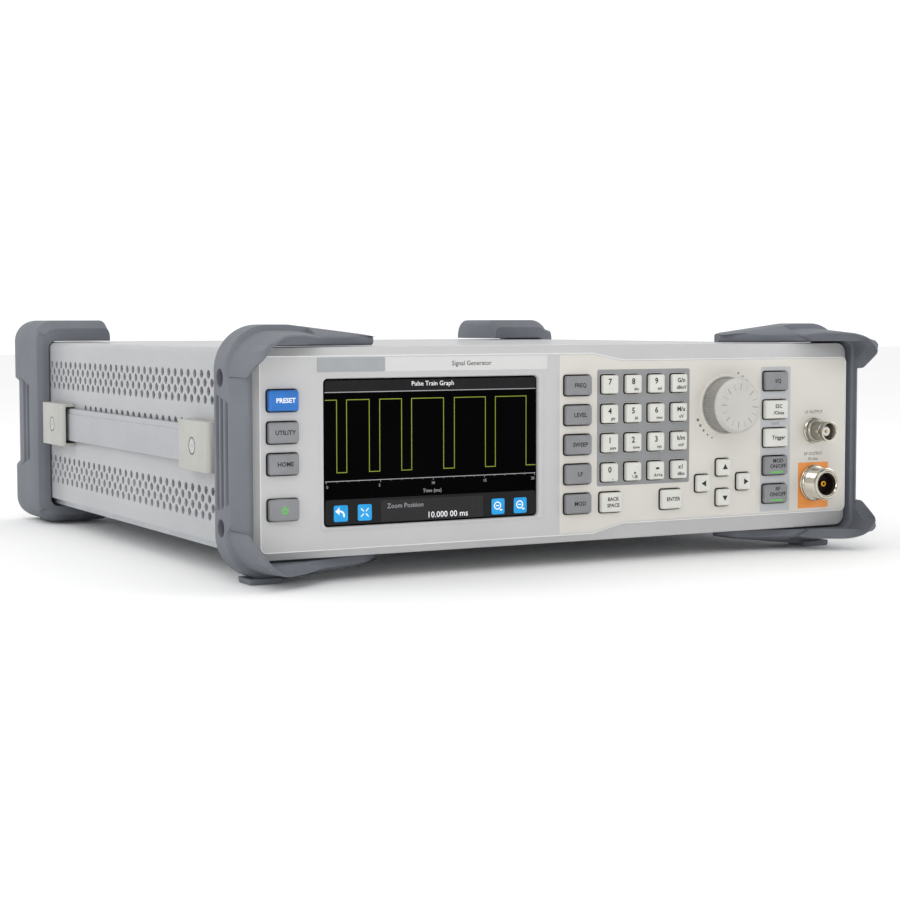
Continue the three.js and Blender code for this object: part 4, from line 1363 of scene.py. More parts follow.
@dataclass
class Connectors:
    """The two coaxial jacks of the front panel and their small brothers at the back."""

    thread_pitch: float = 1.06
    thread_depth: float = 0.55

    def thread(self, radius: np.ndarray, depth: np.ndarray,
               angle: np.ndarray) -> tuple[np.ndarray, np.ndarray]:
        """Helical thread: the radius dips by a triangle wave of depth over pitch less the turn.

        Args:
            radius: radius of each point, in mm.
            depth: how deep each point lies, in mm.
            angle: angle of each point round the axis, in radians.
        Returns:
            Changed radius and depth.
        """
        wave = np.abs(((depth / self.thread_pitch - angle / (2 * np.pi)) % 1) * 2 - 1)
        threaded = (radius > 7.8) & (radius < 8.0) & (depth > -10.6) & (depth < -3.1)
        return radius - threaded * self.thread_depth * wave, depth

    def lugs(self, facing: Facing, centre: tuple[float, float], at: float, radius: float,
             y: float) -> list[Solid]:
        """Two bayonet lugs as short round pins across the barrel.

        Args:
            facing: which way it points.
            centre: centre of the turned parts, in the plane they face out of.
            at: y of the surface it stands on.
            radius: outer radius of the barrel.
            y: depth of the lugs' middle.
        Returns:
            The two lugs.
        """
        turn = np.linspace(0, 2 * np.pi, 14, endpoint=False)
        pins = []
        for side in (-1, 1):
            for_x = centre[0] + side * np.array([radius - 0.4, radius + 0.75, radius + 0.95])
            size = np.array([0.95, 0.95, 0.7])
            uv = np.stack([np.broadcast_to(for_x[:, None], (3, 14)),
                           centre[1] + size[:, None] * np.sin(turn)], -1)
            pins.append(tube(facing.lift(uv, y + size[:, None] * np.cos(turn), at)))
        return pins

    def bayonet(self, shape: Shape, facing: Facing, centre: tuple[float, float], at: float, proud: float,
                flange: float) -> None:
        """Bayonet jack: washer, nut, barrel with a bright lip, open mouth, insulator and contact.

        Args:
            shape: the shape to add to.
            facing: which way it points.
            centre: centre of the turned parts, in the plane they face out of.
            at: y of the surface it stands on.
            proud: how far it stands out.
            flange: radius of its washer.
        """
        washer = [(5.0, -0.05), (flange - 0.3, -0.05), (flange, -0.3), (flange, -0.9), (flange - 0.35, -1.25),
                  (5.0, -1.3)]
        shape.add(turned(washer, centre, facing, at, 48, looped=True))
        barrel = [(4.0, 3.0), (4.9, 3.0), (4.9, -1.1), (flange - 0.75, -1.15), (flange - 0.6, -1.5),
                  (flange - 0.6, -3.2), (flange - 1.0, -3.6), (4.75, -3.75), (4.75, -proud + 3.2),
                  (4.4, -proud + 2.9), (4.4, -proud + 1.9), (4.8, -proud + 1.5), (4.8, -proud + 0.3),
                  (4.6, -proud), (4.25, -proud), (4.05, -proud + 0.3), (4.05, -3.6), (4.0, -3.6)]
        shape.add(turned(barrel, centre, facing, at, 48, looped=True), 1)
        lip = [(4.0, -proud + 0.25), (4.86, -proud + 0.25), (4.86, -proud + 0.05), (4.6, -proud - 0.02),
               (4.2, -proud - 0.02)]
        shape.add(turned(lip, centre, facing, at, 48, looped=True))
        for pin in self.lugs(facing, centre, at, 4.8, -proud + 3.1):
            shape.add(pin)
        shape.add(turned([(3.98, 1), (3.98, -4.2), (2.5, -4.3), (2.45, -proud + 3), (2.2, -proud + 2.6),
                          (1.0, -proud + 2.6), (0.8, -proud + 3.2), (0.8, -5)], centre, facing, at, 36), 2)
        shape.add(turned([(0.75, -5), (0.75, -proud + 3.4), (0.6, -proud + 3.2), (0.3, -proud + 3.4),
                          (0.3, -5.5)],
                         centre, facing, at, 20), 3)

    def screw_jack(self, shape: Shape, centre: tuple[float, float]) -> None:
        """Threaded jack: back ring, nut, helical thread, bright mouth, dark bore and gold contact.

        Args:
            shape: the shape to add to.
            centre: centre of the turned parts, in the plane they face out of.
        """
        ring = [(6.4, -0.3), (8.7, -0.3), (9.0, -0.6), (9.0, -1.5), (8.7, -1.85), (6.4, -1.9)]
        shape.add(turned(ring, centre, Facing.FRONT, 0, 64, looped=True))
        barrel = [(5.0, 4.0), (6.1, 4.0), (6.1, -1.8), (8.35, -1.85), (8.5, -2.0), (8.5, -2.8), (8.3, -3.0)]
        barrel += [(7.9, float(y)) for y in np.arange(-3.05, -10.65, -self.thread_pitch / 8)]
        barrel += [(7.55, -10.75), (7.5, -11.2), (7.2, -11.6), (6.5, -11.6), (6.3, -11.35), (6.3, -10.9),
                   (6.05, -10.7), (5.75, -10.7), (5.6, -10.9), (5.6, -4), (5.0, -4)]
        shape.add(turned(barrel, centre, Facing.FRONT, 0, 96, self.thread, looped=True))
        shape.add(turned([(5.62, 3), (5.62, -9.6), (5.35, -9.6), (5.35, -4.2), (1.0, -4.2), (1.0, 3)], centre,
                         Facing.FRONT, 0, 40, looped=True), 4)
        shape.add(turned([(1.5, -3), (1.5, -8.4), (1.3, -8.6), (0.75, -8.6), (0.6, -8.2), (0.6, -4.5),
                          (0.6, -3)], centre,
                         Facing.FRONT, 0, 32, looped=True), 3)
        shape.add(turned([(0.5, -4), (0.5, -7.4), (0.3, -7.5)], centre, Facing.FRONT, 0, 16), 4)

    def build(self, panel: FrontPanel) -> None:
        """Makes the front jacks.

        Args:
            panel: the front panel, which says where the jacks are.
        """
        finishes = [NICKEL, DULL_NICKEL, PTFE, GOLD, DARK_BORE]
        bayonet, screw = Shape(), Shape()
        self.bayonet(bayonet, Facing.FRONT, panel.bnc, -0.3, -node_box("bnc_output").low[1] - 0.3, 6.35)
        build("lf_jack", bayonet, finishes, replaces=["bnc_output"], crease=38)
        self.screw_jack(screw, panel.n_jack)
        build("rf_jack", screw, finishes, replaces=["n_output"], crease=38)


# ---- handle -------------------------------------------------------------------------------------


@dataclass
class Handle:
    """Side carrying handle: two nylon caps, their screws, and a strap that bows out when lifted."""

    wall: float = 1.6
    chamfer: float = 1.2
    screw_radius: float = 3.7

    def cap(self, box: Box, mouth: int) -> Solid:
        """Cap as rings from its closed end to its mouth and back down inside the pocket.

        Args:
            box: the cap's box.
            mouth: 1 where it opens toward the back, -1 toward the front.
        Returns:
            Points and faces.
        """
        x0, x1, z0, z1 = box.low[0], box.high[0], box.low[2], box.high[2]
        shut, open_end = (box.low[1], box.high[1]) if mouth > 0 else (box.high[1], box.low[1])
        ring = lambda y, inset, far, near: np.insert(
            rectangle(x0 + inset, near, z0 + far, z1 - far, 0.5, 3)[:, [0, 1]], 1, y, axis=1)
        outside = [(shut, self.chamfer + 0.4, 0.5), (shut + mouth * 0.25, self.chamfer, 0.15),
                   (shut + mouth * self.chamfer, 0.15, 0), (shut + mouth * (self.chamfer + 0.5), 0, 0),
                   (open_end - mouth * (self.chamfer + 0.4), 0, 0),
                   (open_end - mouth * self.chamfer, 0.15, 0),
                   (open_end - mouth * 0.2, self.chamfer - 0.3, 0.1), (open_end, self.chamfer, 0.25)]
        rings = [ring(y, inset, far, x1) for y, inset, far in outside]
        rings += [ring(y, self.wall + 0.3, self.wall, x1 - 0.02)
                  for y in (open_end, shut + mouth * self.wall)]
        return tube(np.array(rings))

    def screw(self, box: Box) -> Shape:
        """Countersunk cross-head screw: a ring of painted shade where it sits in the cap, a low dome, and a
        cross sunk in it whose bottom is painted shade.

        Args:
            box: box of the cap.
        Returns:
            The head, its ring of painted shade and its cross.
        """
        arm, half, at = 2.05, 0.75, box.low[0] - 0.02
        cross = [(arm, half), (half, half), (half, arm), (-half, arm), (-half, half), (-arm, half)]
        loop = np.array(cross + [(-u, -v) for u, v in cross]) + (box.middle[1], box.middle[2])
        head = disc(box.middle[1], box.middle[2], self.screw_radius, 36)
        shape = Shape().add(plate(head, Facing.LEFT, at,
                                  [(1.3, -0.1), (0.6, 0), (0.3, 0.1), (0.2, 0.3), (0, 1.2)], pockets=[loop],
                                  pocket_rim=[(0.1, -0.1), (0, 0.1), (-0.1, 1.0)]))
        # dark ring round the head: painted shade of the cap's recess
        seat_shade_ring = [(self.screw_radius - 0.15, 0.35), (self.screw_radius - 0.15, -0.02),
                (self.screw_radius + 0.35, -0.02), (self.screw_radius + 0.4, 0.35)]
        shape.add(turned(seat_shade_ring, (box.middle[1], box.middle[2]), Facing.LEFT, at, 40, looped=True), 1)
        # dark plate at the cross's bottom: painted shade in the cross
        return shape.add(plate(offset(loop, -0.12), Facing.LEFT, at, [(0, 0.14), (0, 0.98)]), 1)

    def section(self) -> np.ndarray:
        """Strap's section (x, z): flat back, soft edges and a crease below the upper edge.

        Returns:
            Closed outline in x and z.
        """
        low, high = node_box("strap_front").low, node_box("strap_front").high
        x0, x1, z0, z1 = low[0], high[0], low[2], high[2]
        return rounded([(x1, z0, 0.6), (x1, z1, 0.6), (x0 + 0.4, z1, 0.7), (x0 + 0.3, z1 - 2.6, 0),
                        (x0 + 0.42, z1 - 2.8, 0), (x0, z1 - 3.2, 0.2), (x0, z0, 0.7)], 3)

    def run(self, y0: float, y1: float) -> Solid:
        """Length of strap from y0 to y1, its section carried straight along in short steps.

        Args:
            y0: where it starts.
            y1: where it ends.
        Returns:
            Points and faces.
        """
        section = self.section()
        steps = np.linspace(y0, y1, max(int((y1 - y0) / 3), 2))
        return tube(np.array([np.column_stack([section[:, 0], np.full(len(section), y), section[:, 1]])
                              for y in steps]))

    def bent(self, name: str, shape: Shape,
             nodes: Sequence[str]) -> None:
        """Builds one part of the strap on no body and bakes its place into its mesh.

        Args:
            name: the piece's name.
            shape: its shape.
            nodes: CAD nodes that it replaces.
        """
        piece = build(name, shape, [STRAP_VINYL], "", nodes, crease=30)
        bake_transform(piece)

    def build(self) -> None:
        """Makes caps, screws and the three parts of the strap."""
        caps = {name: node_box(f"handle_cap_{name}") for name in ("front", "rear")}
        for name, mouth in (("front", 1), ("rear", -1)):
            build(f"cap_{name}", Shape().add(self.cap(caps[name], mouth)), [CAP_NYLON],
                  replaces=[f"handle_cap_{name}"])
            build(f"cap_screw_{name}", self.screw(caps[name]), [ZINC, BLACK_OXIDE_AND_SHADE])
        front, rear, tip = (node_box(f"strap_{name}") for name in ("front", "rear", "tip"))
        first, bend, last = front.low[1], rear.low[1], tip.low[1]
        one, two = (first + bend) / 2, (bend + last) / 2
        self.bent("strap_front_part", Shape().add(self.run(first - 14, one)),
                  ["strap_front"])
        self.bent("strap_middle_part", Shape().add(self.run(one, two)),
                  ["strap_rear"])
        joined = last + 10
        slot = rectangle(270.5, 288.6, 40.1, 46.3, 3)
        end = plate(rectangle(joined, tip.high[1], tip.low[2], tip.high[2], 1.5), Facing.LEFT, tip.low[0],
                    [(0.4, 0), (0, 0.4), (0, tip.size[0] - 0.4), (0.4, tip.size[0])], [slot])
        self.bent("strap_rear_part", Shape().add(self.run(two, joined + 0.5)).add(end),
                  ["strap_tip"])


# ---- bumpers ------------------------------------------------------------------------------------


@dataclass
class Course:
    """Stations along a bumper, from the tip of its upper wing round to the tip of its lower wing."""

    outer: np.ndarray
    inner: np.ndarray
    normal: np.ndarray

    @classmethod
    def wrapped(cls, bumper: "Bumper", wing: np.ndarray, side: np.ndarray) -> "Course":
        """Course round the case's side: straight wing, quarter circle, straight side, then mirrored.

        Args:
            bumper: the bumper's sizes.
            wing: x of the stations along the upper wing.
            side: z of the stations down the side to the middle.
        Returns:
            Stations of the whole course.
        """
        high, x0, r = CASE_MIDDLE + bumper.half_height, -bumper.proud, bumper.radius
        inner_high, inner_x, inner_r = CASE_MIDDLE + bumper.inner_half, -0.4, 4.0
        slope = np.clip((wing - bumper.flat) / (bumper.tip - bumper.flat), 0, 1)
        slope = 1 - np.sqrt(1 - slope ** 2) if bumper.round_tip else slope
        top = high - slope * (high - inner_high - bumper.tip_thick)
        share = (wing - (x0 + r)) / (bumper.tip - (x0 + r))
        inner_wing = inner_x + inner_r + share * (bumper.tip - inner_x - inner_r)
        angle = np.radians(np.concatenate([np.linspace(90, 4, 14)[1:], [0]]))
        ray = np.column_stack([-np.cos(angle), np.sin(angle)])
        low_corner = inner_high - inner_r
        blend = np.clip((side - 66) / (high - r - 66), 0, 1)
        inner_side = side + blend * (low_corner - (high - r))
        outer = np.vstack([np.column_stack([wing, top]), (x0 + r, high - r) + r * ray,
                           np.column_stack([np.full(len(side), x0), side])])
        inner = np.vstack([np.column_stack([inner_wing, np.full(len(wing), inner_high)]),
                           (inner_x + inner_r, low_corner) + inner_r * ray,
                           np.column_stack([np.full(len(side), inner_x), inner_side])])
        normal = np.vstack([np.tile([0, 1], (len(wing), 1)), ray, np.tile([-1, 0], (len(side), 1))])
        flip = lambda rows, about: rows[-2::-1] * (1, -1) + (0, 2 * about)
        return cls(np.vstack([outer, flip(outer, CASE_MIDDLE)]) + (0, bumper.lift),
                   np.vstack([inner, flip(inner, CASE_MIDDLE)]), np.vstack([normal, flip(normal, 0)]))

    @property
    def rise(self) -> np.ndarray:
        """Height of each station from the case's middle, whichever way."""
        return np.abs(self.outer[:, 1] - CASE_MIDDLE)


@dataclass
class Bumper:
    """Rubber corner guard: a ribbed band with two screw holes, and wings above and below the case."""

    proud: float
    half_height: float
    inner_half: float
    tip: float
    flat: float
    tip_thick: float
    band: tuple[float, float]
    rib_middle: float
    foot: float
    radius: float = 20.0
    lift: float = 0.0  # how much higher its middle is than the case's
    round_tip: bool = False
    screwed: bool = True
    grooves: tuple[float, ...] = (13.7, 19.5, 24.4)  # y of the grooves' middles
    groove_half: float = 1.0
    groove_wall: float = 0.7
    groove_depth: float = 2.9
    recess: float = 0.0
    recess_end: float = 25.6  # height from the middle where the grooves run out
    hole_rise: float = 32.8
    hole_radius: float = 3.9
    hole_room: tuple[float, float] = (28.2, 37.3)  # rises that the grid leaves open round a screw hole
    reach: float = 4.8  # half width in y that it leaves open

    def ribs(self, y: float | np.ndarray, rise: np.ndarray) -> np.ndarray:
        """Depth of the grooves between the ribs: full within a half width, then an eased wall on either side.

        All of them fade out toward the recess's end, the front ones first.

        Args:
            y: y of the point.
            rise: height of each station from the middle.
        Returns:
            Depth in mm.
        """
        ease = lambda t: np.clip(t, 0, 1) ** 2 * (3 - 2 * np.clip(t, 0, 1))
        groove = np.max([ease(1 + (self.groove_half - np.abs(y - k)) / self.groove_wall)
                         for k in self.grooves], axis=0)
        lead = 0.25 * (np.clip(y, self.grooves[0], self.grooves[-1]) - self.grooves[-1])
        base = self.recess * ease((y - self.grooves[0] + 4.5) / 1.5)
        return ease((self.recess_end - rise + lead) / 2.6) * (base + self.groove_depth * groove)

    def skin(self, course: Course, rows: list[tuple]) -> tuple[np.ndarray, Faces]:
        """Grid over the course. Each row is (y, "outer" or "inner" line, how far from it along the normal).

        Args:
            course: the stations.
            rows: closed section as (y, "outer" or "inner", distance); arrays or numbers.
        Returns:
            Points and faces, open where the screw holes are set in.
        """
        count = len(course.outer)
        wide = lambda value: np.broadcast_to(np.asarray(value, float), count)
        grid = np.empty((count, len(rows), 3))
        for k, (y, line, distance) in enumerate(rows):
            base, sign = (course.outer, -1) if line == "outer" else (course.inner, 1)
            flat = base + sign * wide(distance)[:, None] * course.normal
            grid[:, k] = np.column_stack([flat[:, 0], wide(y), flat[:, 1]])
        points, faces = tube(grid)
        quads = faces[0]
        centre = points[quads].mean(1)
        rise = np.abs(centre[:, 2] - CASE_MIDDLE)
        near = (np.abs(centre[:, 1] - self.rib_middle) < self.reach) & (centre[:, 0] < -self.proud + 1)
        open_here = near & (rise > self.hole_room[0]) & (rise < self.hole_room[1]) & self.screwed
        kept = [quads[~open_here], *faces[1:]]
        if signed_volume(points, kept) < 0:
            kept = [block[:, ::-1] for block in kept]
        patches = [self.screw_hole(points, quads[open_here & (np.sign(centre[:, 2] - CASE_MIDDLE) == side)],
                                   side)
                   for side in (-1, 1) if self.screwed]
        for patch_points, patch_faces in patches:
            kept += [block + len(points) for block in patch_faces]
            points = np.vstack([points, patch_points])
        return points, kept

    def screw_hole(self, points: np.ndarray, quads: np.ndarray, side: int) -> Solid:
        """Fills the grid's gap with a sheet that has a screw hole in it, a wall and a floor.

        Args:
            points: the grid's points.
            quads: the faces left out, whose outer border the sheet meets.
            side: 1 for the upper hole, -1 for the lower.
        Returns:
            Open sheet, facing outward.
        """
        edges = np.vstack([np.column_stack([quads[:, k], quads[:, (k + 1) % 4]]) for k in range(4)])
        count = {}
        for a, b in edges:
            count[frozenset((a, b))] = count.get(frozenset((a, b)), 0) + 1
        follow = {int(a): int(b) for a, b in edges if count[frozenset((a, b))] == 1}
        border = [next(iter(follow))]
        while follow[border[-1]] != border[0]:
            border.append(follow[border[-1]])
        rim = points[border]
        area = np.sum(rim[:, 1] * np.roll(rim[:, 2], -1) - np.roll(rim[:, 1], -1) * rim[:, 2])
        rim = rim if area > 0 else rim[::-1]
        centre = (self.rib_middle, CASE_MIDDLE + side * self.hole_rise)
        high = self.half_height - self.radius
        rings = []
        for radius, depth in ((self.hole_radius + 0.3, 0), (self.hole_radius, 0.3),
                              (self.hole_radius - 0.2, 5)):
            circle = disc(*centre, radius, 28)
            over = np.clip(np.abs(circle[:, 1] - CASE_MIDDLE) - high, 0, None)
            curve = self.radius - np.sqrt(self.radius ** 2 - over ** 2)
            rings.append(np.column_stack([curve * (depth < 1) - self.proud + depth, circle]))
        triangles = triangulated([rim[:, 1:], rings[0][:, 1:]])
        n, m = len(rim), len(rings[0])
        here, ahead = np.arange(m), np.roll(np.arange(m), -1)
        walls = [np.column_stack([here, ahead, ahead + m, here + m]) + n + k * m for k in (0, 1)]
        faces = [triangles, *walls, (n + 2 * m + here)[None]]
        return np.vstack([rim, *rings]), [block[:, ::-1] for block in faces]

    def foot_pad(self) -> Solid:
        """Sole that the unit stands on, slightly drawn in at its lower edge."""
        return plate(rectangle(2, 18, self.foot - 7, self.foot + 7, 1.5), Facing.BOTTOM,
                     node_box("bumper_front_left").low[2], [(0.6, 0), (0.2, 0.15), (0, 0.55), (-0.2, 2.6)])

    def screws(self) -> Shape:
        """Socket-head screws at the bottom of the holes.

        Returns:
            Both heads.
        """
        shape = Shape()
        for side in (-1, 1):
            centre = (self.rib_middle, CASE_MIDDLE + side * self.hole_rise)
            socket = disc(*centre, 1.45, 6)
            shape.add(plate(disc(*centre, 3.0, 24), Facing.LEFT, -self.proud + 2.8,
                            [(0.4, 0), (0.1, 0.1), (0, 0.4), (0, 2.4)], pockets=[socket],
                            pocket_rim=[(0.1, 0), (0, 0.15), (0, 1.6)]))
        return shape

    def section(self) -> tuple[Course, list[tuple]]:
        """Course and section of the guard."""
        raise NotImplementedError

    def build(self, place: str) -> None:
        """Makes the left guard and mirrors it to the right.

        Args:
            place: "front" or "rear".
        """
        left = Shape().add(self.skin(*self.section())).add(self.foot_pad(), 1)
        for side, body in (("left", left), ("right", left.mirrored())):
            build(f"guard_{place}_{side}", body, [BUMPER_RUBBER, FOOT_RUBBER],
                  replaces=[f"bumper_{place}_{side}"], crease=28, weld=0.004)
        if self.screwed:
            heads = self.screws()
            build(f"guard_screws_{place}_left", heads, [BLACK_OXIDE_AND_SHADE])
            build(f"guard_screws_{place}_right", heads.mirrored(), [BLACK_OXIDE_AND_SHADE])


@dataclass
class FrontBumper(Bumper):
    """Front guard, with a thin hood that stands in front of the panel's corners."""

    hood_end: float = 30.8
    hood_reach: float = 18.5
    lobe_end: float = 33.2  # height from the middle where the hood's cheek stops
    lobe_turn: float = 42.9

    def section(self) -> tuple[Course, list[tuple]]:
        """Section from the inner edge forward to the rim, back over the hood, the step and the ribbed band.

        Returns:
            The course, and its rows as (y, line, distance).
        """
        wing = np.concatenate([np.linspace(self.tip, 60, 4), np.linspace(58, self.hood_end + 0.4, 10),
                               np.linspace(self.hood_end, 12.6, 12)])
        high = CASE_MIDDLE + self.half_height - self.radius
        side = np.array([high - 0.9, high - 1.8, 75.2, 74.9, 74.6, 74.0, 72.5, 71, CASE_MIDDLE + 28.2, 69, 68,
                         67, 66, 65, 64, 63, 60, 55, 50, 46, CASE_MIDDLE])
        course = Course.wrapped(self, wing, side)
        x, rise = course.outer[:, 0], course.rise
        lean = np.abs(course.normal[:, 1])
        on_wing = lean > 0.999
        beyond = on_wing & (x > self.hood_end + 0.2)
        plan = np.interp(x, [0.5, self.hood_end, self.hood_end + 0.3, 59.8, self.tip],
                         [-self.hood_reach, -0.6, 2.2, 13.4, 20.0])
        cheek = np.interp(rise, [self.lobe_end - 0.4, self.lobe_end, self.lobe_end + 0.4, self.lobe_turn, 60],
                          [-2.0, -2.4, -5.2, -self.hood_reach, -self.hood_reach])
        front = np.maximum(plan, cheek)
        back = np.where(on_wing, np.interp(x, [60, self.tip], [self.band[1], 24.2]), self.band[1])
        start = np.maximum(front, 12.0)
        plain = np.clip((self.lobe_end + 1.2 - rise) / 3, 0, 1) * ~on_wing  # 1 where the side has no step
        squeeze = lambda y: back - (self.band[1] - y) * (back - start) / (self.band[1] - 12.0)
        inner_wall = np.where(on_wing, 0.6, 0.6 + 2.0 * np.abs(course.normal[:, 0]))
        inner_wall = np.where(beyond, 0.6, inner_wall)
        middle = (rise < self.lobe_end) & ~on_wing
        hood = np.where(middle, 2.3, 1.4 + 1.2 * lean)
        rim = np.where(middle, 3.9, 2.2 + 2.2 * lean)
        facet = np.clip((14.6 - np.array([[12.6], [13.4]])) / (14.6 - np.minimum(front, 12.0)), 0, 1)
        wing_drop = np.clip(course.outer[:, 1] - CASE_MIDDLE - self.inner_half - 4.3, 0.5, None)
        wing_drop = np.where(course.outer[:, 1] < CASE_MIDDLE, wing_drop[::-1], wing_drop)
        rim = np.where(beyond, wing_drop, rim)
        hood_back = np.where(beyond, wing_drop * facet[0], hood) * (1 - plain) + 0.25 * plain
        hood_step = np.where(beyond, wing_drop * facet[1], hood - 0.1) * (1 - plain) + 0.1 * plain
        shoulder = np.where(middle, 2.0, (front + 12.6) / 2)
        shoulder_drop = np.where(middle, 2.5, (rim + hood_back) / 2)
        slide = lambda y, side_y: squeeze(y) * (1 - plain) + side_y * plain
        columns = np.linspace(self.band[0] + 1.3, self.band[1] - 0.8, 44)
        side_columns = np.linspace(11.2, self.band[1] - 0.8, 44)
        rows = [(back, "inner", 0.5), (back - 0.5, "inner", 0.0),
                (np.maximum(9.0, front + 1.2), "inner", 0.0), (np.maximum(8.5, front + 1.1), "inner", 0.6),
                (np.maximum(-0.1, front + 1.0), "inner", 0.6),
                (np.maximum(-0.5, front + 0.9), "inner", inner_wall), (front + 0.6, "inner", inner_wall),
                (front + 0.15, "inner", inner_wall + 0.2), (front, "inner", inner_wall + 0.6),
                (front, "outer", rim + 0.8), (front + 0.15, "outer", rim + 0.25), (front + 0.5, "outer", rim),
                (shoulder, "outer", shoulder_drop), (slide(12.6, 9.4), "outer", hood_back),
                (slide(13.3, 10.0), "outer", hood_step),
                (slide(14.5, 10.5), "outer", np.where(beyond, 0.1, 0.5) * (1 - plain)),
                (slide(15.0, 10.9), "outer", 0.12 * (1 - plain))]
        for y, side_y in zip(columns, side_columns):
            place = slide(y, side_y)
            rows.append((place, "outer", self.ribs(place, rise) * ~on_wing))
        return course, rows + [(back - 0.6, "outer", 0.1), (back - 0.15, "outer", 0.4), (back, "outer", 0.9)]


@dataclass
class RearBumper(Bumper):
    """Rear guard, deeper, with a lip that wraps the end of the cover."""

    lip: float = 3.8
    lip_depth: float = 7.0

    def section(self) -> tuple[Course, list[tuple]]:
        """Section from the inner front edge, over the chamfer and the ribbed band, round the back to the lip.

        Returns:
            The course, and its rows as (y, line, distance).
        """
        wing = np.concatenate([self.tip - (self.tip - self.flat) * (1 - np.cos(np.linspace(0, np.pi / 2, 7))),
                               np.linspace(self.flat - 2, self.radius - self.proud + 0.1, 8)])
        high = CASE_MIDDLE + self.half_height - self.radius
        side = np.concatenate([np.linspace(high - 0.9, 70, 10), np.arange(69, 60, -1),
                               [57, 54, 50, 46, CASE_MIDDLE]])
        course = Course.wrapped(self, wing, side)
        front, back = self.band
        rise = course.rise
        on_wing = np.abs(course.normal[:, 1]) > 0.999
        lean = np.abs(course.normal[:, 1])
        facing_front = 3.2 + 1.6 * lean
        lip = np.where(on_wing, 0.0, -self.lip * np.abs(course.normal[:, 0]))
        ribs = lambda y: self.ribs(np.float64(y), rise) * ~on_wing
        turn = np.radians(np.array([15, 35, 55, 75, 90]))
        rows = [(front, "inner", 0.5), (front, "outer", facing_front + 0.3),
                (front + 0.2, "outer", facing_front - 0.3),
                (front + 7 * (lean > 0.5) + 1.6 * (lean <= 0.5), "outer", 0.35 + 0 * rise),
                (front + 8 * (lean > 0.5) + 2.6 * (lean <= 0.5), "outer", 0.0)]
        rows += [(y, "outer", ribs(y)) for y in (*np.arange(front + 12, back - 8, 0.5), back - 7.5)]
        rows += [(back - 6 + 6 * math.sin(t), "outer", ribs(back - 7.5) * math.cos(t) + 6 * (1 - math.cos(t)))
                 for t in turn]
        rows += [(back, "inner", lip), (back - self.lip_depth, "inner", lip),
                 (back - self.lip_depth, "inner", 0.0), (front + 0.5, "inner", 0.0)]
        return course, rows


# ---- rear panel ---------------------------------------------------------------------------------


@dataclass
class RearPanel:
    """Rear sheet with the fan's slots, a vent field, the inlet, jacks, ports and an earth stud."""

    sheet: float = 1.2
    slot_pitch: float = 7.2
    jacks: tuple[float, ...] = (135.0, 157.0, 179.0)
    jack_z: float = 63.0
    ports: tuple[tuple[float, float, float, float], ...] = ((140, 31, 13.2, 5.8), (162, 31, 12, 11),
                                                            (185, 31, 16, 13.5))

    def slots(self) -> list[np.ndarray]:
        """Slots whose ends lie on a circle over the fan.

        Returns:
            One outline for each slot.
        """
        fan = node_box("fan_frame").middle
        rows = np.arange(-3, 4)
        halves = np.sqrt(26 ** 2 - (rows * self.slot_pitch) ** 2)
        return [rectangle(fan[0] - half, fan[0] + half, fan[2] + row * self.slot_pitch - 2.2,
                          fan[2] + row * self.slot_pitch + 2.2, 2.1, 4) for row, half in zip(rows, halves)]

    def build(self) -> None:
        """Makes the sheet and what is fixed to it."""
        box = node_box("rear_panel")
        x0, x1, z0, z1 = box.low[0], box.high[0], box.low[2], box.high[2]
        at = box.high[1]
        inlet = node_box("mains_inlet").middle
        cut = rectangle(inlet[0] - 14.3, inlet[0] + 14.3, inlet[2] - 10.3, inlet[2] + 10.3, 0.5)
        vents = [disc(206 + 7 * i + 3.5 * (k % 2), 58 + 5.6 * k, 2.0, 10) for k in range(4)
                 for i in range(11)]
        window = lambda inset, radius: [rectangle(x - w / 2 + inset, x + w / 2 - inset, z - h / 2 + inset,
                                                  z + h / 2 - inset, radius) for x, z, w, h in self.ports]
        outline = rounded([(x0, z0, 1), (x1, z0, 1), (x1, z1, 3), (x0, z1, 3)])
        sheet = plate(outline, Facing.REAR, at, [(0.15, 0), (0, 0.15), (0, self.sheet)],
                      [*self.slots(), cut, *vents, *window(0, 0.6)])
        build("rear_sheet", Shape().add(sheet), [COVER_PAINT], replaces=["rear_panel"])
        ports = Shape()
        for (x, z, w, _), shell, mouth in zip(self.ports, window(0.2, 0.6), window(1.3, 0.4)):
            ports.add(plate(shell, Facing.REAR, at, [(0.2, -0.35), (0, -0.2), (0, 11)], pockets=[mouth],
                            pocket_rim=[(0, -0.35), (0, 9)]))
            ports.add(plate(rectangle(x - w / 4, x + w / 4, z - 0.9, z + 0.9, 0.2), Facing.REAR, at,
                            [(0, 1.5), (0, 9.2)]), 1)
        build("rear_ports", ports, [ZINC, BLACK_PLASTIC])
        jacks = Shape()
        for x in self.jacks:
            Connectors().bayonet(jacks, Facing.REAR, (x, self.jack_z), at, 8.9, 6.35)
        build("rear_jacks", jacks, [NICKEL, DULL_NICKEL, PTFE, GOLD], crease=38)
        stud = Shape().add(turned([(3.2, 0.5), (3.2, -1.0), (2.9, -1.2), (1.9, -1.2), (1.9, -7), (1.6, -7.4),
                                   (0.3, -7.5)],
                                  (300, 12), Facing.REAR, at, 24))
        stud.add(turned([(3.4, -1.3), (3.8, -1.6), (3.8, -4.2), (3.4, -4.5), (1.9, -4.5), (1.9, -1.3)],
                        (300, 12), Facing.REAR, at, 6, looped=True))
        build("earth_stud", stud, [ZINC])
        heads = Shape()
        for x in (60.5, 119.5):
            for z in (15.5, 74.5):
                heads.add(turned([(2.4, 0.4), (2.4, -0.5), (2.0, -1.1), (0.5, -1.35)], (x, z), Facing.REAR,
                                 at, 20))
        for dx in (-17, 17):
            heads.add(turned([(2.2, 0.3), (2.2, -2.6), (1.8, -3.0), (0.4, -3.2)], (inlet[0] + dx, inlet[2]),
                             Facing.REAR, at, 20))
        build("rear_screws", heads, [BLACK_OXIDE_AND_SHADE])


# ---- carried-over nodes -------------------------------------------------------------------------


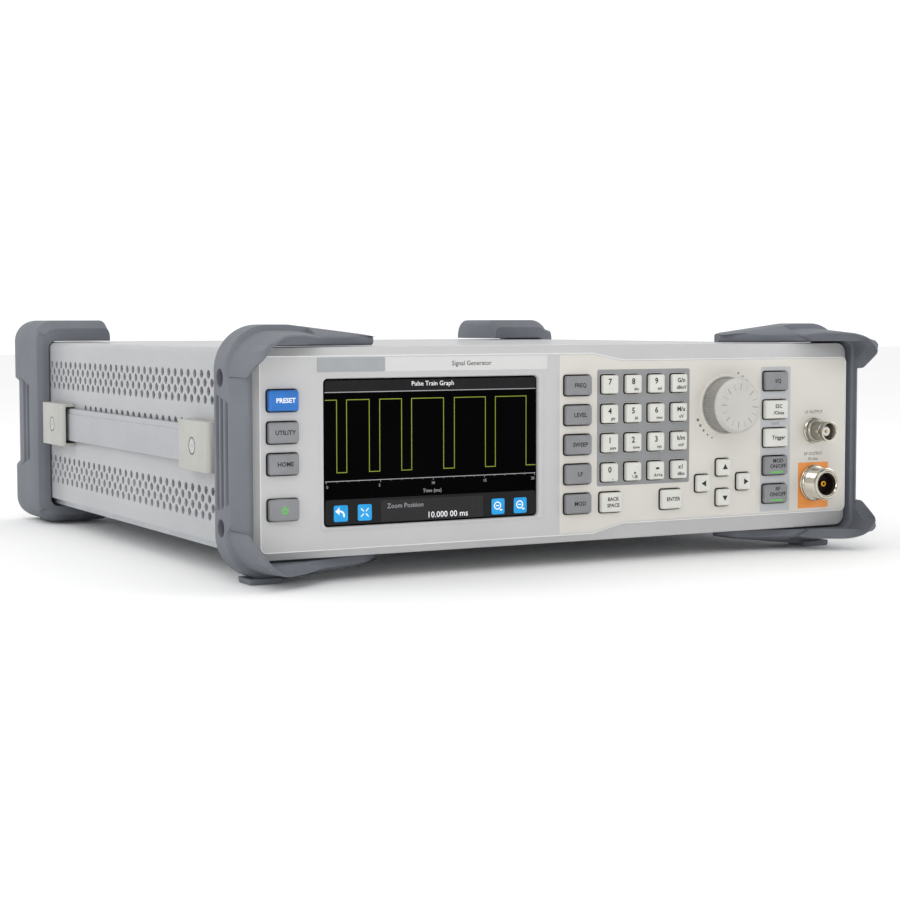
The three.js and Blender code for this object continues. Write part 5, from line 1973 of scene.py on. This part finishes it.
INSIDE = {
    "chassis": STEEL, "front_board": BOARD, "main_board": BOARD, "power_supply": BOARD,
    "display_module": BLACK_PLASTIC, "mains_inlet": BLACK_PLASTIC, "fan_frame": BLACK_PLASTIC,
    "fan_rotor": BLACK_PLASTIC,
}


def dress_inside() -> None:
    """Gives the CAD nodes that stay their own materials."""
    for name, finish in INSIDE.items():
        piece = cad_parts[name]
        piece.data.materials.clear()
        piece.data.materials.append(finish.material())
        log.info("%s: CAD node dressed in %s", name, finish.name)


# ---- studio -------------------------------------------------------------------------------------


@dataclass
class Studio:
    """Pale floor, soft lights and the camera, seen a little from the left and just above the top."""

    camera: tuple[float, float, float] = (-313.0, -760.7, 98.4)  # in the case's layout
    azimuth: float = 28.17
    pitch: float = 3.8
    roll: float = -0.09
    lens: float = 76.9

    def lamp(self, name: str, place: tuple[float, float, float], aim: tuple[float, float, float], size: float,
             power: float) -> None:
        """Soft square light at a place, aimed at a point, both in metres in the row frame.

        Args:
            name: the light's name.
            place: where it stands.
            aim: where it points.
            size: side of the square in metres.
            power: power in watts.
        """
        data = bpy.data.lights.new(name, "AREA")
        data.shape = "SQUARE"
        data.size = size
        data.energy = power
        light = bpy.data.objects.new(name, data)
        light.location = place
        light.rotation_euler = (Vector(aim) - Vector(place)).to_track_quat("-Z", "Y").to_euler()
        bpy.context.scene.collection.objects.link(light)

    def floor(self) -> None:
        """Broad pale floor at the height of the feet."""
        mesh = bpy.data.meshes.new("floor")
        low, half = CAD_BOX[0].z, 6.0
        mesh.from_pydata([(-half, -half, low), (half, -half, low), (half, half, low), (-half, half, low)], [],
                         [(0, 1, 2, 3)])
        floor = bpy.data.objects.new("floor", mesh)
        bpy.context.scene.collection.objects.link(floor)
        pale = Finish("matt_white_studio_paper", "#FFFFFF", "#FDFDFD", 0.9, 3.0, 0.01, mottle=400)
        mesh.materials.append(pale.material())

    def build(self) -> None:
        """Makes floor, lights, camera and surroundings, white behind the unit, greyer toward the viewer."""
        scene = bpy.context.scene
        scene.view_settings.view_transform = "Standard"
        self.floor()
        world = bpy.data.worlds.new("studio")
        world.use_nodes = True
        way = add_node(world.node_tree, "TexCoord").outputs["Generated"]
        depth = add_node(world.node_tree, "SeparateXYZ", {"Vector": way}).outputs["Y"]
        shade = add_node(world.node_tree, "MapRange",
                         {"Value": depth, "From Min": -0.9, "From Max": 0.1, "To Min": 0.45,
                                                       "To Max": 1.1})
        world.node_tree.links.new(shade.outputs["Result"],
                                  world.node_tree.nodes["Background"].inputs["Color"])
        scene.world = world
        self.lamp("key_light", (-0.7, -1.3, 1.2), (0, 0, 0.05), 0.7, 4.5)
        self.lamp("low_light", (-0.5, -1.3, 0.16), (0, 0, 0.03), 0.3, 2.6)
        self.lamp("fill_light", (1.3, -0.9, 0.6), (0, 0, 0.05), 0.6, 3)
        self.lamp("side_light", (-1.4, 0.2, 0.9), (0, 0, 0.05), 0.7, 4)
        data = bpy.data.cameras.new("camera")
        data.lens = self.lens
        data.sensor_width = 36
        data.clip_end = 20
        camera = bpy.data.objects.new("camera", data)
        camera.location = (np.array(self.camera) + CORNER) * MM
        camera.rotation_mode = "XYZ"
        upright = Euler((math.radians(90 - self.pitch), 0, -math.radians(self.azimuth)), "XYZ").to_matrix()
        twist = Euler((0, 0, math.radians(self.roll)), "XYZ").to_matrix()
        camera.rotation_euler = (upright @ twist).to_euler()
        scene.collection.objects.link(camera)
        scene.camera = camera


# ---- the whole unit -----------------------------------------------------------------------------


def main() -> None:
    """Builds the unit, one sub-assembly after another."""
    logging.basicConfig(level=logging.INFO, format="%(message)s")
    Studio().build()
    Cover().build()
    keys = keypad()
    for key in keys:
        key.build()
    panel = FrontPanel(keys)
    panel.build()
    Display().build()
    Knob().build()
    Connectors().build(panel)
    Handle().build()
    FrontBumper(proud=7.5, half_height=55.9, inner_half=46.5, tip=66, flat=22, tip_thick=4.1, band=(14, 29),
                rib_middle=21.6, foot=19).build("front")
    RearBumper(proud=7.5, half_height=57.1, inner_half=46.5, tip=35, flat=31.5, tip_thick=6.5,
               band=(300, 350.5), rib_middle=330, foot=326, radius=12, lift=1, round_tip=True, screwed=False,
               grooves=(321, 328, 335), groove_half=1.4, groove_wall=1.0, groove_depth=2.0,
               recess=2.2).build("rear")
    RearPanel().build()
    dress_inside()


if __name__ == "__main__":
    main()
